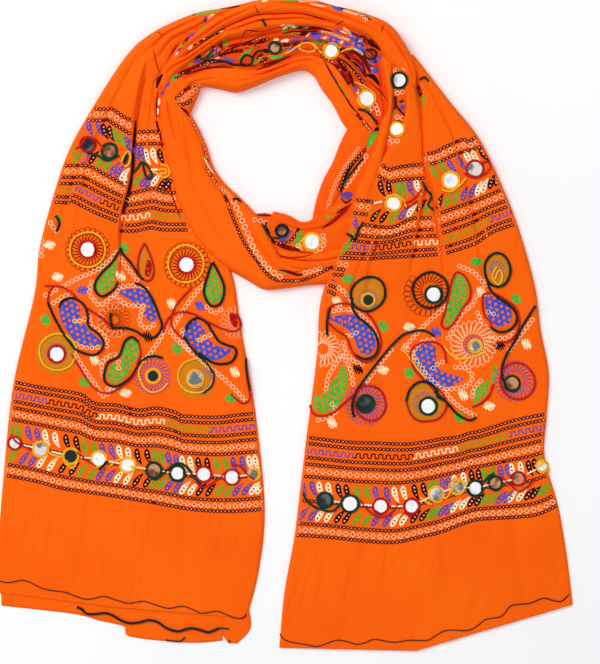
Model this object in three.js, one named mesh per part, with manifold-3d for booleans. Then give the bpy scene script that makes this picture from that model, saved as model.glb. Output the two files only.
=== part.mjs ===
// A mirror work dupatta: one long cotton scarf, wound once round the neck opening and laid flat,
// seen from above with its two printed and embroidered ends below.
// Millimetres, +Z up. The origin is on the surface that the scarf lies on, under the middle of it.
// +Y runs from the hems to the back of the neck, and +X to the end that lies on the right.
import * as THREE from "three";
import Module from "manifold-3d";
import { mergeVertices } from "three/addons/utils/BufferGeometryUtils.js";

const wasm = await Module();
wasm.setup();

const SEAM_GAP = 0.3; // between neighbouring stretches of cloth
const MIRROR_GAP = 0.35; // between a mirror and the cloth it is sewn on
const MIRROR_THICKNESS = 1.0;
const MIRROR_SIDES = 14;
const CLOTH_COLOUR = 0xff6a08;
const UNDER_COLOUR = 0xe85504;
const MIRROR_COLOUR = 0xdfe4e8;

// Each stretch of the scarf is a table of sections across the cloth. A section names the points where
// its lines run, each as [x, y, height at the line, height of the cloth just inside it].
// The cloth turns down to each line over the stretch's turn radius.

// The left end, from the hem (0 mm) to the shoulder. Its outer part is pleated over the rest, from
// foldTop, the lip of the pleat, down to foldFoot. Below 330 mm the pleat has opened out.
const TAIL_LEFT = {
  name: "tail_left",
  lines: ["left", "foldTop", "foldFoot", "right"],
  columns: [11, 1, 11],
  rowsPerSection: 4,
  turn: 6,
  sections: [
    { left: [-287, -269, 1.4, 3.0], foldTop: [-170, -284, 3.2, 3.2], foldFoot: [-169, -284, 3.2, 3.2], right: [-39, -295, 1.4, 3.0] },
    { left: [-286, -222, 1.4, 3.4], foldTop: [-169, -234, 3.6, 3.6], foldFoot: [-168, -234, 3.6, 3.6], right: [-27, -248, 1.4, 3.4] },
    { left: [-281, -156, 1.4, 3.8], foldTop: [-167, -171, 4.2, 4.2], foldFoot: [-166, -171, 4.2, 4.2], right: [-21, -185, 1.4, 4.0] },
    { left: [-271, -62, 1.4, 4.6], foldTop: [-168, -83, 5.0, 5.0], foldFoot: [-167, -83, 5.0, 5.0], right: [-30, -91, 1.4, 4.8] },
    { left: [-250, 28, 1.5, 5.5], foldTop: [-166, 0, 6.2, 6.2], foldFoot: [-165, 0, 6.2, 6.2], right: [-45, -2, 1.5, 5.6] },
    { left: [-245, 73, 1.6, 6.5], foldTop: [-165, 59, 7.0, 8.0], foldFoot: [-164, 55, 5.8, 5.8], right: [-53, 47, 1.6, 6.0] },
    { left: [-233, 120, 1.8, 8.0], foldTop: [-165, 101, 8.2, 10.5], foldFoot: [-163, 92, 5.4, 5.4], right: [-72, 90, 2.0, 6.5] },
    { left: [-216, 171, 2.0, 10.0], foldTop: [-154, 151, 10.0, 12.5], foldFoot: [-152, 145, 6.2, 6.2], right: [-100, 148, 3.0, 8.0] },
    { left: [-193, 213, 2.0, 12.0], foldTop: [-151, 199, 11.5, 14.5], foldFoot: [-149, 190, 7.5, 7.5], right: [-113, 191, 4.0, 10.0] },
    { left: [-166, 256, 2.0, 13.5], foldTop: [-144, 241, 13.0, 16.0], foldFoot: [-142, 233, 9.0, 9.0], right: [-118, 225, 5.0, 11.0] },
    { left: [-150, 276, 2.0, 14.0], foldTop: [-135, 267, 13.0, 16.0], foldFoot: [-133, 264, 11.0, 11.0], right: [-122, 248, 6.0, 12.0] },
  ],
  creases: [
    { across: [0.3, 0.36], along: [0.02, 0.3], depth: 0.9, width: 9 },
    { across: [0.52, 0.47], along: [0.12, 0.38], depth: 1.2, width: 8 },
    { across: [0.74, 0.68], along: [0.0, 0.22], depth: 0.9, width: 10 },
    { across: [0.82, 0.7], along: [0.24, 0.56], depth: 1.3, width: 7 },
    { across: [0.16, 0.22], along: [0.45, 0.98], depth: 2.2, width: 5 },
    { across: [0.74, 0.8], along: [0.66, 1.0], depth: 1.8, width: 4 },
  ],
};

// The right end. Here the right part is the one pleated over the left, from the shoulder down.
const TAIL_RIGHT = {
  name: "tail_right",
  lines: ["left", "foldFoot", "foldTop", "right"],
  columns: [11, 1, 11],
  rowsPerSection: 3,
  turn: 6,
  sections: [
    { left: [-5, -324, 1.4, 3.0], foldFoot: [130, -327, 3.0, 3.0], foldTop: [131, -327, 3.0, 3.0], right: [287, -281, 1.4, 3.0] },
    { left: [0, -270, 1.4, 3.4], foldFoot: [133, -272, 3.6, 3.6], foldTop: [134, -272, 3.6, 3.6], right: [281, -232, 1.4, 3.4] },
    { left: [10, -214, 1.4, 3.8], foldFoot: [135, -217, 4.2, 4.2], foldTop: [136, -217, 4.2, 4.2], right: [272, -181, 1.4, 4.0] },
    { left: [16, -165, 1.4, 4.3], foldFoot: [144, -168, 4.7, 4.7], foldTop: [145, -168, 4.7, 4.7], right: [259, -134, 1.4, 4.4] },
    { left: [22, -115, 1.4, 4.8], foldFoot: [152, -117, 5.2, 5.2], foldTop: [153, -117, 5.2, 5.2], right: [261, -93, 1.4, 4.8] },
    { left: [28, -70, 1.4, 5.2], foldFoot: [155, -68, 5.8, 5.8], foldTop: [156, -68, 5.8, 5.8], right: [263, -50, 1.4, 5.2] },
    { left: [33, -27, 1.5, 6.0], foldFoot: [156, -24, 6.4, 6.4], foldTop: [157, -24, 6.4, 6.4], right: [255, -7, 1.5, 5.5] },
    { left: [36, 20, 1.6, 8.0], foldFoot: [157, 23, 6.8, 6.8], foldTop: [158, 25, 7.4, 7.8], right: [249, 37, 1.6, 6.2] },
    { left: [49, 59, 2.0, 12.0], foldFoot: [156, 67, 6.8, 6.8], foldTop: [158, 71, 8.6, 10.5], right: [232, 97, 1.8, 7.0] },
    { left: [72, 109, 6.0, 15.0], foldFoot: [148, 117, 8.0, 8.0], foldTop: [150, 125, 11.5, 14.0], right: [211, 149, 2.0, 9.0] },
    { left: [93, 157, 8.0, 17.0], foldFoot: [139, 156, 10.0, 10.5], foldTop: [140, 166, 13.5, 16.5], right: [191, 188, 2.0, 11.0] },
    { left: [117, 200, 10.0, 21.0], foldFoot: [136, 193, 11.5, 16.0], foldTop: [138, 203, 12.5, 15.0], right: [165, 220, 2.0, 12.0] },
    { left: [119, 235, 11.0, 22.0], foldFoot: [131, 229, 11.5, 19.0], foldTop: [133, 238, 11.5, 13.5], right: [145, 246, 2.0, 12.0] },
    { left: [110, 265, 11.0, 21.0], foldFoot: [120, 262, 11.0, 19.0], foldTop: [122, 264, 10.0, 11.0], right: [125, 265, 2.0, 9.0] },
  ],
  creases: [
    { across: [0.58, 0.5], along: [0.06, 0.3], depth: 1.4, width: 8 },
    { across: [0.2, 0.28], along: [0.0, 0.18], depth: 0.9, width: 10 },
    { across: [0.84, 0.8], along: [0.02, 0.26], depth: 1.0, width: 9 },
    { across: [0.3, 0.24], along: [0.3, 0.52], depth: 1.1, width: 8 },
    { across: [0.22, 0.18], along: [0.5, 0.72], depth: 2.4, width: 5 },
    { across: [0.76, 0.84], along: [0.5, 0.96], depth: 1.8, width: 6 },
  ],
};

// The back layer of the left end, which shows below the front hem.
const TAIL_LEFT_UNDER = {
  name: "tail_left_under",
  lines: ["front", "hem"],
  columns: [4],
  rowsPerSection: 2,
  turn: 3,
  sections: [
    { front: [-283, -262, 1.6, 1.6], hem: [-283, -282, 0.8, 1.6] },
    { front: [-213, -270, 1.6, 1.6], hem: [-213, -290, 0.8, 1.6] },
    { front: [-185, -273, 1.6, 1.6], hem: [-185, -297, 0.8, 1.6] },
    { front: [-162, -277, 1.6, 1.6], hem: [-161, -303, 0.8, 1.6] },
    { front: [-154, -278, 1.6, 1.6], hem: [-154, -313, 0.8, 1.8] },
    { front: [-97, -284, 1.6, 1.6], hem: [-97, -319, 0.8, 1.8] },
    { front: [-63, -287, 1.6, 1.6], hem: [-63, -317, 0.8, 1.6] },
  ],
};

// The turned corner of the left end's hem.
const TAIL_LEFT_CORNER = {
  name: "tail_left_corner",
  lines: ["left", "right"],
  columns: [3],
  rowsPerSection: 2,
  turn: 2,
  sections: [
    { left: [-62, -285, 1.8, 1.8], right: [-37, -283, 1.2, 1.8] },
    { left: [-62, -309, 1.0, 1.8], right: [-35, -305, 0.8, 1.8] },
    { left: [-57, -319, 0.8, 1.4], right: [-48, -320, 0.8, 1.4] },
  ],
};

// The broad plain stretch that comes off the back of the neck on the left and sweeps across the front.
const FRONT_LEFT = {
  name: "front_left",
  lines: ["outer", "inner"],
  columns: [11],
  rowsPerSection: 3,
  turn: 15,
  sections: [
    { outer: [-128, 224, 8.0, 16.0], inner: [-95, 211, 3.0, 15.0] },
    { outer: [-129, 201, 8.0, 16.0], inner: [-87, 195, 2.5, 15.0] },
    { outer: [-122, 180, 8.0, 15.5], inner: [-79, 177, 2.0, 14.0] },
    { outer: [-115, 155, 7.0, 15.0], inner: [-72, 156, 2.0, 13.0] },
    { outer: [-108, 128, 6.0, 14.0], inner: [-60, 139, 2.0, 12.0] },
    { outer: [-102, 110, 5.0, 13.5], inner: [-45, 125, 2.0, 12.0] },
    { outer: [-87, 83, 3.0, 13.0], inner: [-29, 108, 4.0, 13.0] },
    { outer: [-65, 60, 1.8, 12.5], inner: [-18, 91, 9.0, 16.0] },
    { outer: [-37, 43, 1.8, 12.0], inner: [-8, 72, 9.0, 17.0] },
    { outer: [-20, 34, 1.8, 12.0], inner: [1, 60, 8.0, 16.0] },
    { outer: [0, 35, 1.8, 11.0], inner: [15, 55, 7.0, 13.0] },
    { outer: [23, 38, 1.8, 10.0], inner: [33, 55, 6.0, 11.0] },
    { outer: [50, 40, 1.8, 8.0], inner: [55, 61, 5.0, 9.0] },
  ],
  creases: [
    { across: [0.24, 0.34], along: [0.0, 0.24], depth: 2.6, width: 3.5 },
    { across: [0.8, 0.72], along: [0.26, 0.94], depth: 1.5, width: 3 },
    { across: [0.45, 0.3], along: [0.3, 0.72], depth: 1.6, width: 7 },
  ],
};

// The three bunched layers in front of the neck that the broad stretch covers at their left ends and
// the right end covers at their right ends.
const CROSS_UPPER = {
  name: "cross_upper",
  lines: ["top", "foot"],
  columns: [6],
  rowsPerSection: 3,
  turn: 12,
  sections: [
    { top: [-11, 111, 2.0, 8.0], foot: [-16, 101, 6.0, 9.0] },
    { top: [4, 107, 2.0, 11.0], foot: [-1, 98, 8.0, 12.0] },
    { top: [15, 101, 2.0, 12.0], foot: [10, 94, 8.0, 13.0] },
    { top: [25, 102, 2.0, 13.0], foot: [22, 91, 7.0, 14.0] },
    { top: [33, 110, 2.0, 13.0], foot: [38, 89, 6.0, 13.0] },
    { top: [50, 121, 4.0, 12.0], foot: [53, 91, 5.0, 12.0] },
    { top: [64, 129, 5.0, 10.0], foot: [73, 97, 5.0, 10.0] },
  ],
};

const CROSS_MIRROR = {
  name: "cross_mirror",
  lines: ["top", "foot"],
  columns: [7],
  rowsPerSection: 3,
  turn: 14,
  sections: [
    { top: [-34, 108, 2.0, 6.0], foot: [-28, 94, 4.0, 7.0] },
    { top: [-17, 109, 2.0, 9.0], foot: [-17, 76, 5.0, 9.0] },
    { top: [-2, 104, 4.0, 11.0], foot: [-6, 68, 5.0, 11.0] },
    { top: [12, 98, 5.0, 12.0], foot: [13, 66, 5.0, 12.0] },
    { top: [27, 97, 5.0, 12.0], foot: [28, 65, 5.0, 12.0] },
    { top: [43, 100, 5.0, 12.0], foot: [43, 66, 5.0, 11.0] },
    { top: [66, 110, 5.0, 10.0], foot: [64, 72, 5.0, 10.0] },
  ],
};

const CROSS_LOWER = {
  name: "cross_lower",
  lines: ["top", "crease", "foot"],
  columns: [5, 5],
  rowsPerSection: 3,
  turn: 6,
  sections: [
    { top: [-7, 74, 6.0, 13.0], crease: [-6, 66, 8.0, 13.0], foot: [-3, 58, 5.0, 12.0] },
    { top: [10, 71, 6.0, 14.0], crease: [11, 63, 8.0, 14.0], foot: [11, 53, 4.0, 12.0] },
    { top: [25, 70, 6.0, 14.0], crease: [25, 62, 8.0, 13.5], foot: [25, 52, 3.0, 11.5] },
    { top: [40, 71, 6.0, 13.0], crease: [41, 63, 8.0, 13.0], foot: [42, 54, 3.0, 11.0] },
    { top: [60, 76, 6.0, 11.0], crease: [60, 67, 7.0, 11.0], foot: [60, 58, 3.0, 10.0] },
  ],
};

// The stretch that climbs from the front of the neck under the right end.
const RIGHT_INNER = {
  name: "right_inner",
  lines: ["inner", "crease", "outer"],
  columns: [7, 5],
  rowsPerSection: 3,
  turn: 8,
  sections: [
    { inner: [28, 104, 1.8, 9.0], crease: [40, 99, 8.0, 10.0], outer: [72, 87, 5.0, 8.0] },
    { inner: [32, 123, 1.8, 10.0], crease: [48, 117, 8.5, 11.0], outer: [78, 110, 5.0, 8.0] },
    { inner: [39, 143, 1.8, 11.0], crease: [58, 135, 9.0, 12.0], outer: [84, 130, 5.0, 8.0] },
    { inner: [48, 160, 1.8, 11.0], crease: [68, 150, 9.0, 12.0], outer: [90, 148, 5.0, 8.0] },
    { inner: [56, 180, 1.8, 11.0], crease: [77, 165, 8.5, 12.0], outer: [97, 165, 5.0, 8.0] },
    { inner: [64, 196, 1.8, 9.0], crease: [86, 186, 7.0, 10.0], outer: [101, 184, 5.0, 8.0] },
    { inner: [68, 205, 1.8, 8.0], crease: [92, 198, 7.0, 9.0], outer: [104, 196, 5.0, 8.0] },
  ],
};

// The rolled edge of the right end beside the neck, and the pocket of embroidered cloth that opens
// between it and the rest of the right end.
const RIGHT_ROLL = {
  name: "right_roll",
  lines: ["left", "right"],
  columns: [7],
  rowsPerSection: 3,
  turn: 14,
  sections: [
    { left: [93, 264, 8.0, 16.0], right: [107, 266, 8.0, 16.0] },
    { left: [96, 257, 7.0, 18.0], right: [108, 257, 8.0, 18.0] },
    { left: [99, 243, 6.0, 19.0], right: [107, 243, 8.0, 19.0] },
    { left: [102, 226, 6.0, 18.0], right: [108, 226, 8.0, 18.0] },
    { left: [102, 212, 6.0, 18.0], right: [107, 210, 8.0, 18.0] },
    { left: [96, 201, 5.0, 19.0], right: [105, 196, 8.0, 19.0] },
    { left: [93, 188, 4.0, 19.0], right: [102, 185, 9.0, 19.0] },
    { left: [86, 170, 4.0, 18.0], right: [97, 163, 10.0, 18.0] },
    { left: [79, 153, 4.0, 17.0], right: [91, 143, 10.0, 18.0] },
    { left: [70, 132, 4.0, 16.0], right: [84, 123, 10.0, 17.0] },
    { left: [65, 104, 3.0, 14.0], right: [77, 97, 10.0, 15.0] },
    { left: [60, 82, 2.0, 12.0], right: [68, 74, 8.0, 12.5] },
  ],
};

const RIGHT_POCKET = {
  name: "right_pocket",
  lines: ["left", "right"],
  columns: [5],
  rowsPerSection: 3,
  turn: 9,
  sections: [
    { left: [103, 262, 8.0, 11.0], right: [114, 263, 8.0, 11.0] },
    { left: [104, 247, 8.0, 13.0], right: [121, 246, 8.0, 13.0] },
    { left: [104, 228, 8.0, 14.0], right: [123, 224, 8.0, 14.0] },
    { left: [102, 205, 8.0, 14.0], right: [122, 205, 8.0, 14.0] },
    { left: [98, 186, 8.0, 13.0], right: [119, 185, 8.0, 13.0] },
    { left: [95, 171, 8.0, 11.0], right: [108, 170, 8.0, 11.0] },
    { left: [88, 157, 8.0, 10.0], right: [102, 153, 8.0, 10.0] },
  ],
};

// The rolls behind the neck, from the outside in.
const BACK_SHOULDER = {
  name: "back_shoulder",
  lines: ["outer", "inner"],
  columns: [7],
  rowsPerSection: 3,
  turn: 12,
  sections: [
    { outer: [-151, 275, 2.0, 15.0], inner: [-124, 249, 8.0, 15.0] },
    { outer: [-139, 285, 2.0, 16.0], inner: [-117, 259, 9.0, 16.0] },
    { outer: [-121, 296, 2.0, 17.0], inner: [-109, 275, 9.0, 17.0] },
    { outer: [-90, 309, 2.0, 18.0], inner: [-90, 287, 9.0, 18.0] },
    { outer: [-65, 314, 2.0, 16.0], inner: [-71, 302, 9.0, 17.0] },
    { outer: [-45, 318, 2.0, 14.0], inner: [-47, 312, 9.0, 15.0] },
    { outer: [-29, 322, 2.0, 11.0], inner: [-28, 319, 8.0, 12.0] },
  ],
  creases: [
    { across: [0.34, 0.3], along: [0.0, 0.6], depth: 2.4, width: 3.5 },
    { across: [0.66, 0.7], along: [0.05, 0.8], depth: 2.8, width: 3 },
  ],
};

const BACK_OUTER = {
  name: "back_outer",
  lines: ["outer", "inner"],
  columns: [8],
  rowsPerSection: 3,
  turn: 11,
  sections: [
    { outer: [-118, 259, 10.0, 14.0], inner: [-117, 254, 10.0, 14.0] },
    { outer: [-103, 281, 9.0, 20.0], inner: [-98, 268, 10.0, 20.0] },
    { outer: [-82, 296, 9.0, 23.0], inner: [-78, 282, 10.0, 23.0] },
    { outer: [-66, 306, 9.0, 24.0], inner: [-62, 293, 11.0, 24.0] },
    { outer: [-47, 314, 7.0, 25.0], inner: [-45, 301, 12.0, 25.0] },
    { outer: [-27, 322, 2.5, 25.0], inner: [-27, 307, 12.0, 25.0] },
    { outer: [-5, 326, 2.0, 25.0], inner: [-5, 308, 12.0, 25.0] },
    { outer: [15, 326, 2.0, 25.0], inner: [16, 308, 12.0, 25.0] },
    { outer: [48, 317, 2.0, 25.0], inner: [45, 301, 12.0, 25.0] },
    { outer: [77, 310, 2.0, 25.0], inner: [65, 293, 11.0, 25.0] },
    { outer: [103, 299, 2.0, 25.0], inner: [84, 284, 10.0, 24.0] },
    { outer: [118, 281, 2.0, 24.0], inner: [95, 270, 9.0, 24.0] },
    { outer: [129, 258, 2.0, 20.0], inner: [99, 254, 9.0, 20.0] },
  ],
  creases: [{ across: [0.4, 0.62], along: [0.42, 0.86], depth: 2.6, width: 3 }],
};

const BACK_SECOND = {
  name: "back_second",
  lines: ["outer", "inner"],
  columns: [8],
  rowsPerSection: 3,
  turn: 8,
  sections: [
    { outer: [-132, 226, 7.0, 10.0], inner: [-124, 223, 6.0, 10.0] },
    { outer: [-126, 246, 8.0, 13.0], inner: [-114, 242, 7.0, 13.0] },
    { outer: [-118, 260, 9.0, 16.0], inner: [-108, 249, 8.0, 16.0] },
    { outer: [-98, 268, 9.0, 18.0], inner: [-94, 260, 8.0, 18.0] },
    { outer: [-78, 282, 9.0, 20.0], inner: [-74, 274, 8.0, 20.0] },
    { outer: [-62, 293, 9.0, 21.0], inner: [-58, 283, 8.0, 21.0] },
    { outer: [-45, 301, 9.0, 22.0], inner: [-42, 286, 8.0, 22.0] },
    { outer: [-27, 307, 9.0, 22.0], inner: [-25, 291, 8.0, 22.0] },
    { outer: [-5, 308, 9.0, 22.0], inner: [-4, 294, 8.0, 22.0] },
    { outer: [16, 308, 9.0, 22.0], inner: [20, 295, 8.0, 21.0] },
    { outer: [42, 301, 9.0, 19.0], inner: [42, 294, 8.0, 19.0] },
    { outer: [62, 296, 9.0, 15.0], inner: [61, 294, 8.0, 15.0] },
  ],
  creases: [{ across: [0.46, 0.4], along: [0.46, 0.9], depth: 4, width: 2.2 }],
};

const BACK_MIDDLE = {
  name: "back_middle",
  lines: ["outer", "inner"],
  columns: [12],
  rowsPerSection: 3,
  turn: 8,
  sections: [
    { outer: [-136, 194, 6.0, 9.0], inner: [-98, 208, 6.0, 9.0] },
    { outer: [-138, 215, 6.0, 9.5], inner: [-112, 217, 6.0, 9.5] },
    { outer: [-134, 235, 6.0, 10.0], inner: [-110, 228, 6.0, 10.0] },
    { outer: [-122, 257, 6.0, 11.0], inner: [-99, 240, 6.0, 11.0] },
    { outer: [-102, 270, 6.0, 12.0], inner: [-86, 244, 6.0, 12.0] },
    { outer: [-80, 284, 6.0, 14.0], inner: [-70, 249, 6.0, 14.0] },
    { outer: [-60, 293, 6.0, 15.0], inner: [-55, 250, 6.0, 15.0] },
    { outer: [-44, 298, 6.0, 16.0], inner: [-41, 249, 6.0, 16.0] },
    { outer: [-26, 301, 6.0, 17.0], inner: [-25, 247, 6.0, 16.0] },
    { outer: [-4, 303, 6.0, 17.0], inner: [-5, 253, 6.0, 16.0] },
    { outer: [22, 303, 6.0, 17.0], inner: [16, 261, 6.0, 16.0] },
    { outer: [48, 303, 6.0, 17.0], inner: [36, 260, 6.0, 16.0] },
    { outer: [74, 296, 6.0, 17.0], inner: [50, 246, 6.0, 15.0] },
    { outer: [92, 282, 6.0, 16.0], inner: [62, 231, 6.0, 14.0] },
    { outer: [103, 262, 6.0, 15.0], inner: [70, 219, 6.0, 13.0] },
    { outer: [104, 244, 6.0, 14.0], inner: [76, 210, 6.0, 12.0] },
    { outer: [106, 220, 6.0, 12.0], inner: [83, 200, 6.0, 11.0] },
    { outer: [103, 196, 6.0, 9.0], inner: [88, 190, 6.0, 9.0] },
  ],
  creases: [
    { across: [0.3, 0.24], along: [0.22, 0.62], depth: 5, width: 2.4 },
    { across: [0.62, 0.5], along: [0.2, 0.5], depth: 3.5, width: 2.6 },
    { across: [0.52, 0.62], along: [0.5, 0.94], depth: 5, width: 2.6 },
    { across: [0.74, 0.8], along: [0.56, 0.96], depth: 4, width: 2.2 },
    { across: [0.2, 0.3], along: [0.66, 0.98], depth: 4, width: 2.2 },
  ],
};

const BACK_INNER = {
  name: "back_inner",
  lines: ["outer", "inner"],
  columns: [8],
  rowsPerSection: 3,
  turn: 10,
  sections: [
    { outer: [-128, 219, 8.0, 14.0], inner: [-98, 207, 3.0, 12.0] },
    { outer: [-123, 234, 8.0, 15.0], inner: [-93, 214, 2.5, 12.0] },
    { outer: [-109, 244, 8.0, 16.0], inner: [-87, 228, 2.0, 13.0] },
    { outer: [-95, 246, 8.0, 17.0], inner: [-82, 236, 2.0, 14.0] },
    { outer: [-74, 254, 8.0, 18.0], inner: [-65, 234, 2.0, 15.0] },
    { outer: [-56, 256, 8.0, 18.0], inner: [-49, 231, 2.0, 16.0] },
    { outer: [-29, 253, 8.0, 18.0], inner: [-32, 236, 2.0, 16.0] },
    { outer: [-5, 259, 8.0, 18.0], inner: [-8, 246, 2.0, 16.0] },
    { outer: [16, 267, 8.0, 18.0], inner: [17, 253, 2.0, 16.0] },
    { outer: [37, 266, 8.0, 17.0], inner: [29, 247, 2.0, 15.0] },
    { outer: [49, 248, 8.0, 16.0], inner: [37, 234, 2.0, 14.0] },
    { outer: [61, 227, 8.0, 15.0], inner: [48, 219, 2.0, 13.0] },
    { outer: [73, 210, 8.0, 13.0], inner: [57, 202, 2.0, 12.0] },
    { outer: [85, 189, 7.0, 10.0], inner: [64, 192, 2.0, 9.0] },
  ],
  creases: [
    { across: [0.34, 0.4], along: [0.42, 0.72], depth: 3, width: 2.4 },
    { across: [0.6, 0.5], along: [0.06, 0.3], depth: 1.8, width: 3 },
  ],
};

const BACK_INNER_STRAND = {
  name: "back_inner_strand",
  lines: ["outer", "inner"],
  columns: [5],
  rowsPerSection: 3,
  turn: 6,
  sections: [
    { outer: [38, 269, 8.0, 14.0], inner: [37, 262, 8.0, 14.0] },
    { outer: [54, 253, 7.0, 17.0], inner: [47, 247, 8.0, 17.0] },
    { outer: [70, 230, 7.0, 17.0], inner: [60, 225, 8.0, 17.0] },
    { outer: [82, 213, 7.0, 15.0], inner: [72, 208, 8.0, 15.0] },
    { outer: [93, 197, 6.0, 11.0], inner: [84, 188, 6.0, 11.0] },
  ],
};

// From the topmost down. Where two stretches meet, the upper one keeps its shape and the lower one
// stops against it.
const STRETCHES = [
  TAIL_RIGHT,
  RIGHT_ROLL,
  FRONT_LEFT,
  BACK_OUTER,
  BACK_SHOULDER,
  BACK_SECOND,
  BACK_INNER,
  BACK_INNER_STRAND,
  TAIL_LEFT,
  CROSS_UPPER,
  RIGHT_INNER,
  CROSS_LOWER,
  CROSS_MIRROR,
  BACK_MIDDLE,
  RIGHT_POCKET,
  TAIL_LEFT_UNDER,
  TAIL_LEFT_CORNER,
];
const UNDER_STRETCHES = ["tail_left_under", "right_pocket", "back_middle"];

// Mirrors, by where they are sewn: the middle of each and its radius.
const BAND_MIRROR = 6.4;
const FLOWER_MIRROR = 7.2;
const MIRRORS = {
  left_band: [
    [-270, -120, 5.2],
    [-244, -126, BAND_MIRROR],
    [-214, -133, BAND_MIRROR],
    [-186, -136, BAND_MIRROR],
    [-157, -142, BAND_MIRROR],
    [-131, -147, BAND_MIRROR],
    [-107.5, -150, BAND_MIRROR],
    [-81, -151, BAND_MIRROR],
    [-53, -154, BAND_MIRROR],
    [-31, -151, 4.6],
  ],
  right_band: [
    [40, -177, BAND_MIRROR],
    [65, -180.5, FLOWER_MIRROR],
    [95.5, -183, BAND_MIRROR],
    [126.5, -183, BAND_MIRROR],
    [151, -171, BAND_MIRROR],
    [172, -163.5, BAND_MIRROR],
    [190, -165, BAND_MIRROR],
    [210, -160, 5.6],
    [233, -155.5, 5.6],
    [257, -143, 4.6],
  ],
  left_field: [
    [-196.7, 73.3, FLOWER_MIRROR],
    [-98.3, 58.2, FLOWER_MIRROR],
    [-228, -31, FLOWER_MIRROR],
    [-131.6, -53, 5.6],
    [-89.7, -55.6, FLOWER_MIRROR],
  ],
  right_field: [
    [148.6, 28.5, FLOWER_MIRROR],
    [83, 23, 5.2],
    [80.5, -80.6, FLOWER_MIRROR],
    [143, -83, FLOWER_MIRROR],
    [226.7, -60.4, 6.4],
    [190, -23, 5.2],
  ],
  shoulder_bands: [
    [-196.5, 178, BAND_MIRROR],
    [-175, 171.5, BAND_MIRROR],
    [108, 119, BAND_MIRROR],
    [165.2, 142, FLOWER_MIRROR],
    [189.5, 153.5, FLOWER_MIRROR],
  ],
  neck: [
    [-10, 274, 4.6],
    [46, 271, 6.2],
    [81.4, 223.2, FLOWER_MIRROR],
    [113.5, 241.5, 6.4],
    [111.5, 193, 5.6],
    [-3, 92, 4.6],
    [27, 81, FLOWER_MIRROR],
  ],
};

// Catmull-Rom between the sections, so that every line is one smooth curve.
function smoothBetween(before, from, to, after, t) {
  const lean = (to - before) / 2;
  const leanAfter = (after - from) / 2;
  const rise = to - from;
  return from + t * (lean + t * (3 * rise - 2 * lean - leanAfter + t * (lean + leanAfter - 2 * rise)));
}

function pointOnLine(stretch, line, along) {
  const last = stretch.sections.length - 1;
  const index = Math.min(Math.floor(along), last - 1);
  const section = (i) => stretch.sections[Math.max(0, Math.min(last, i))][line];
  const [before, from, to, after] = [-1, 0, 1, 2].map((step) => section(index + step));
  const [x, y, edge, body] = from.map((_, i) =>
    smoothBetween(before[i], from[i], to[i], after[i], along - index),
  );
  return { x, y, edge, body };
}

// How far the cloth has turned down at a share of the turn radius in from a line: all of it at 0.
const turnedDown = (share) => (share >= 1 ? 0 : 1 - Math.sqrt(1 - (1 - share) ** 2));

function creaseDepth(stretch, across, along) {
  let depth = 0;
  for (const crease of stretch.creases ?? []) {
    const [start, end] = crease.along;
    const share = (along - start) / (end - start);
    if (share <= 0 || share >= 1) continue;
    const middle = THREE.MathUtils.lerp(crease.across[0], crease.across[1], share);
    const away = ((across.share - middle) * across.width) / crease.width;
    depth += crease.depth * Math.sin(Math.PI * share) ** 0.6 * Math.exp(-away * away);
  }
  return depth;
}

// The points across a band between two lines, closer together where the cloth turns down.
function pointsAcross(stretch, a, b, columns, widthBefore, widthOfSection, along) {
  const width = Math.hypot(b.x - a.x, b.y - a.y);
  const turn = Math.min(stretch.turn, width / 2);
  const alongShare = along / (stretch.sections.length - 1);
  return Array.from({ length: columns + 1 }, (_, i) => {
    const even = i / columns;
    const bunched = (1 - Math.cos(Math.PI * even)) / 2;
    const t = columns > 1 ? THREE.MathUtils.lerp(even, bunched, 0.75) : even;
    const body = THREE.MathUtils.lerp(a.body, b.body, t);
    let z = body;
    if (columns > 1) {
      z -= (a.body - a.edge) * turnedDown((t * width) / turn);
      z -= (b.body - b.edge) * turnedDown(((1 - t) * width) / turn);
      const across = { share: (widthBefore + t * width) / widthOfSection, width: widthOfSection };
      const room = Math.min(1, (t * width) / 4, ((1 - t) * width) / 4);
      z -= creaseDepth(stretch, across, alongShare) * room;
    } else {
      z = THREE.MathUtils.lerp(a.edge, b.edge, t);
    }
    return new THREE.Vector3(
      THREE.MathUtils.lerp(a.x, b.x, t),
      THREE.MathUtils.lerp(a.y, b.y, t),
      Math.max(z, 0.8),
    );
  });
}

function rowAt(stretch, along) {
  const lines = stretch.lines.map((line) => pointOnLine(stretch, line, along));
  const widths = lines.slice(1).map((p, i) => Math.hypot(p.x - lines[i].x, p.y - lines[i].y));
  const whole = widths.reduce((sum, width) => sum + width, 0);
  const row = [];
  let before = 0;
  stretch.columns.forEach((columns, i) => {
    const points = pointsAcross(stretch, lines[i], lines[i + 1], columns, before, whole, along);
    row.push(...(i ? points.slice(1) : points));
    before += widths[i];
  });
  return row;
}

const rowsOf = (stretch) => {
  const count = (stretch.sections.length - 1) * stretch.rowsPerSection;
  return Array.from({ length: count + 1 }, (_, i) => rowAt(stretch, i / stretch.rowsPerSection));
};

// The outline of a stretch from above, as the points of its top in order round it.
function outlineOf(rows) {
  const last = rows.length - 1;
  const side = rows[0].length - 1;
  return [
    ...rows[0],
    ...rows.slice(1).map((row) => row[side]),
    ...rows[last].slice(0, side).reverse(),
    ...rows.slice(1, last).map((row) => row[0]).reverse(),
  ];
}

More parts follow.
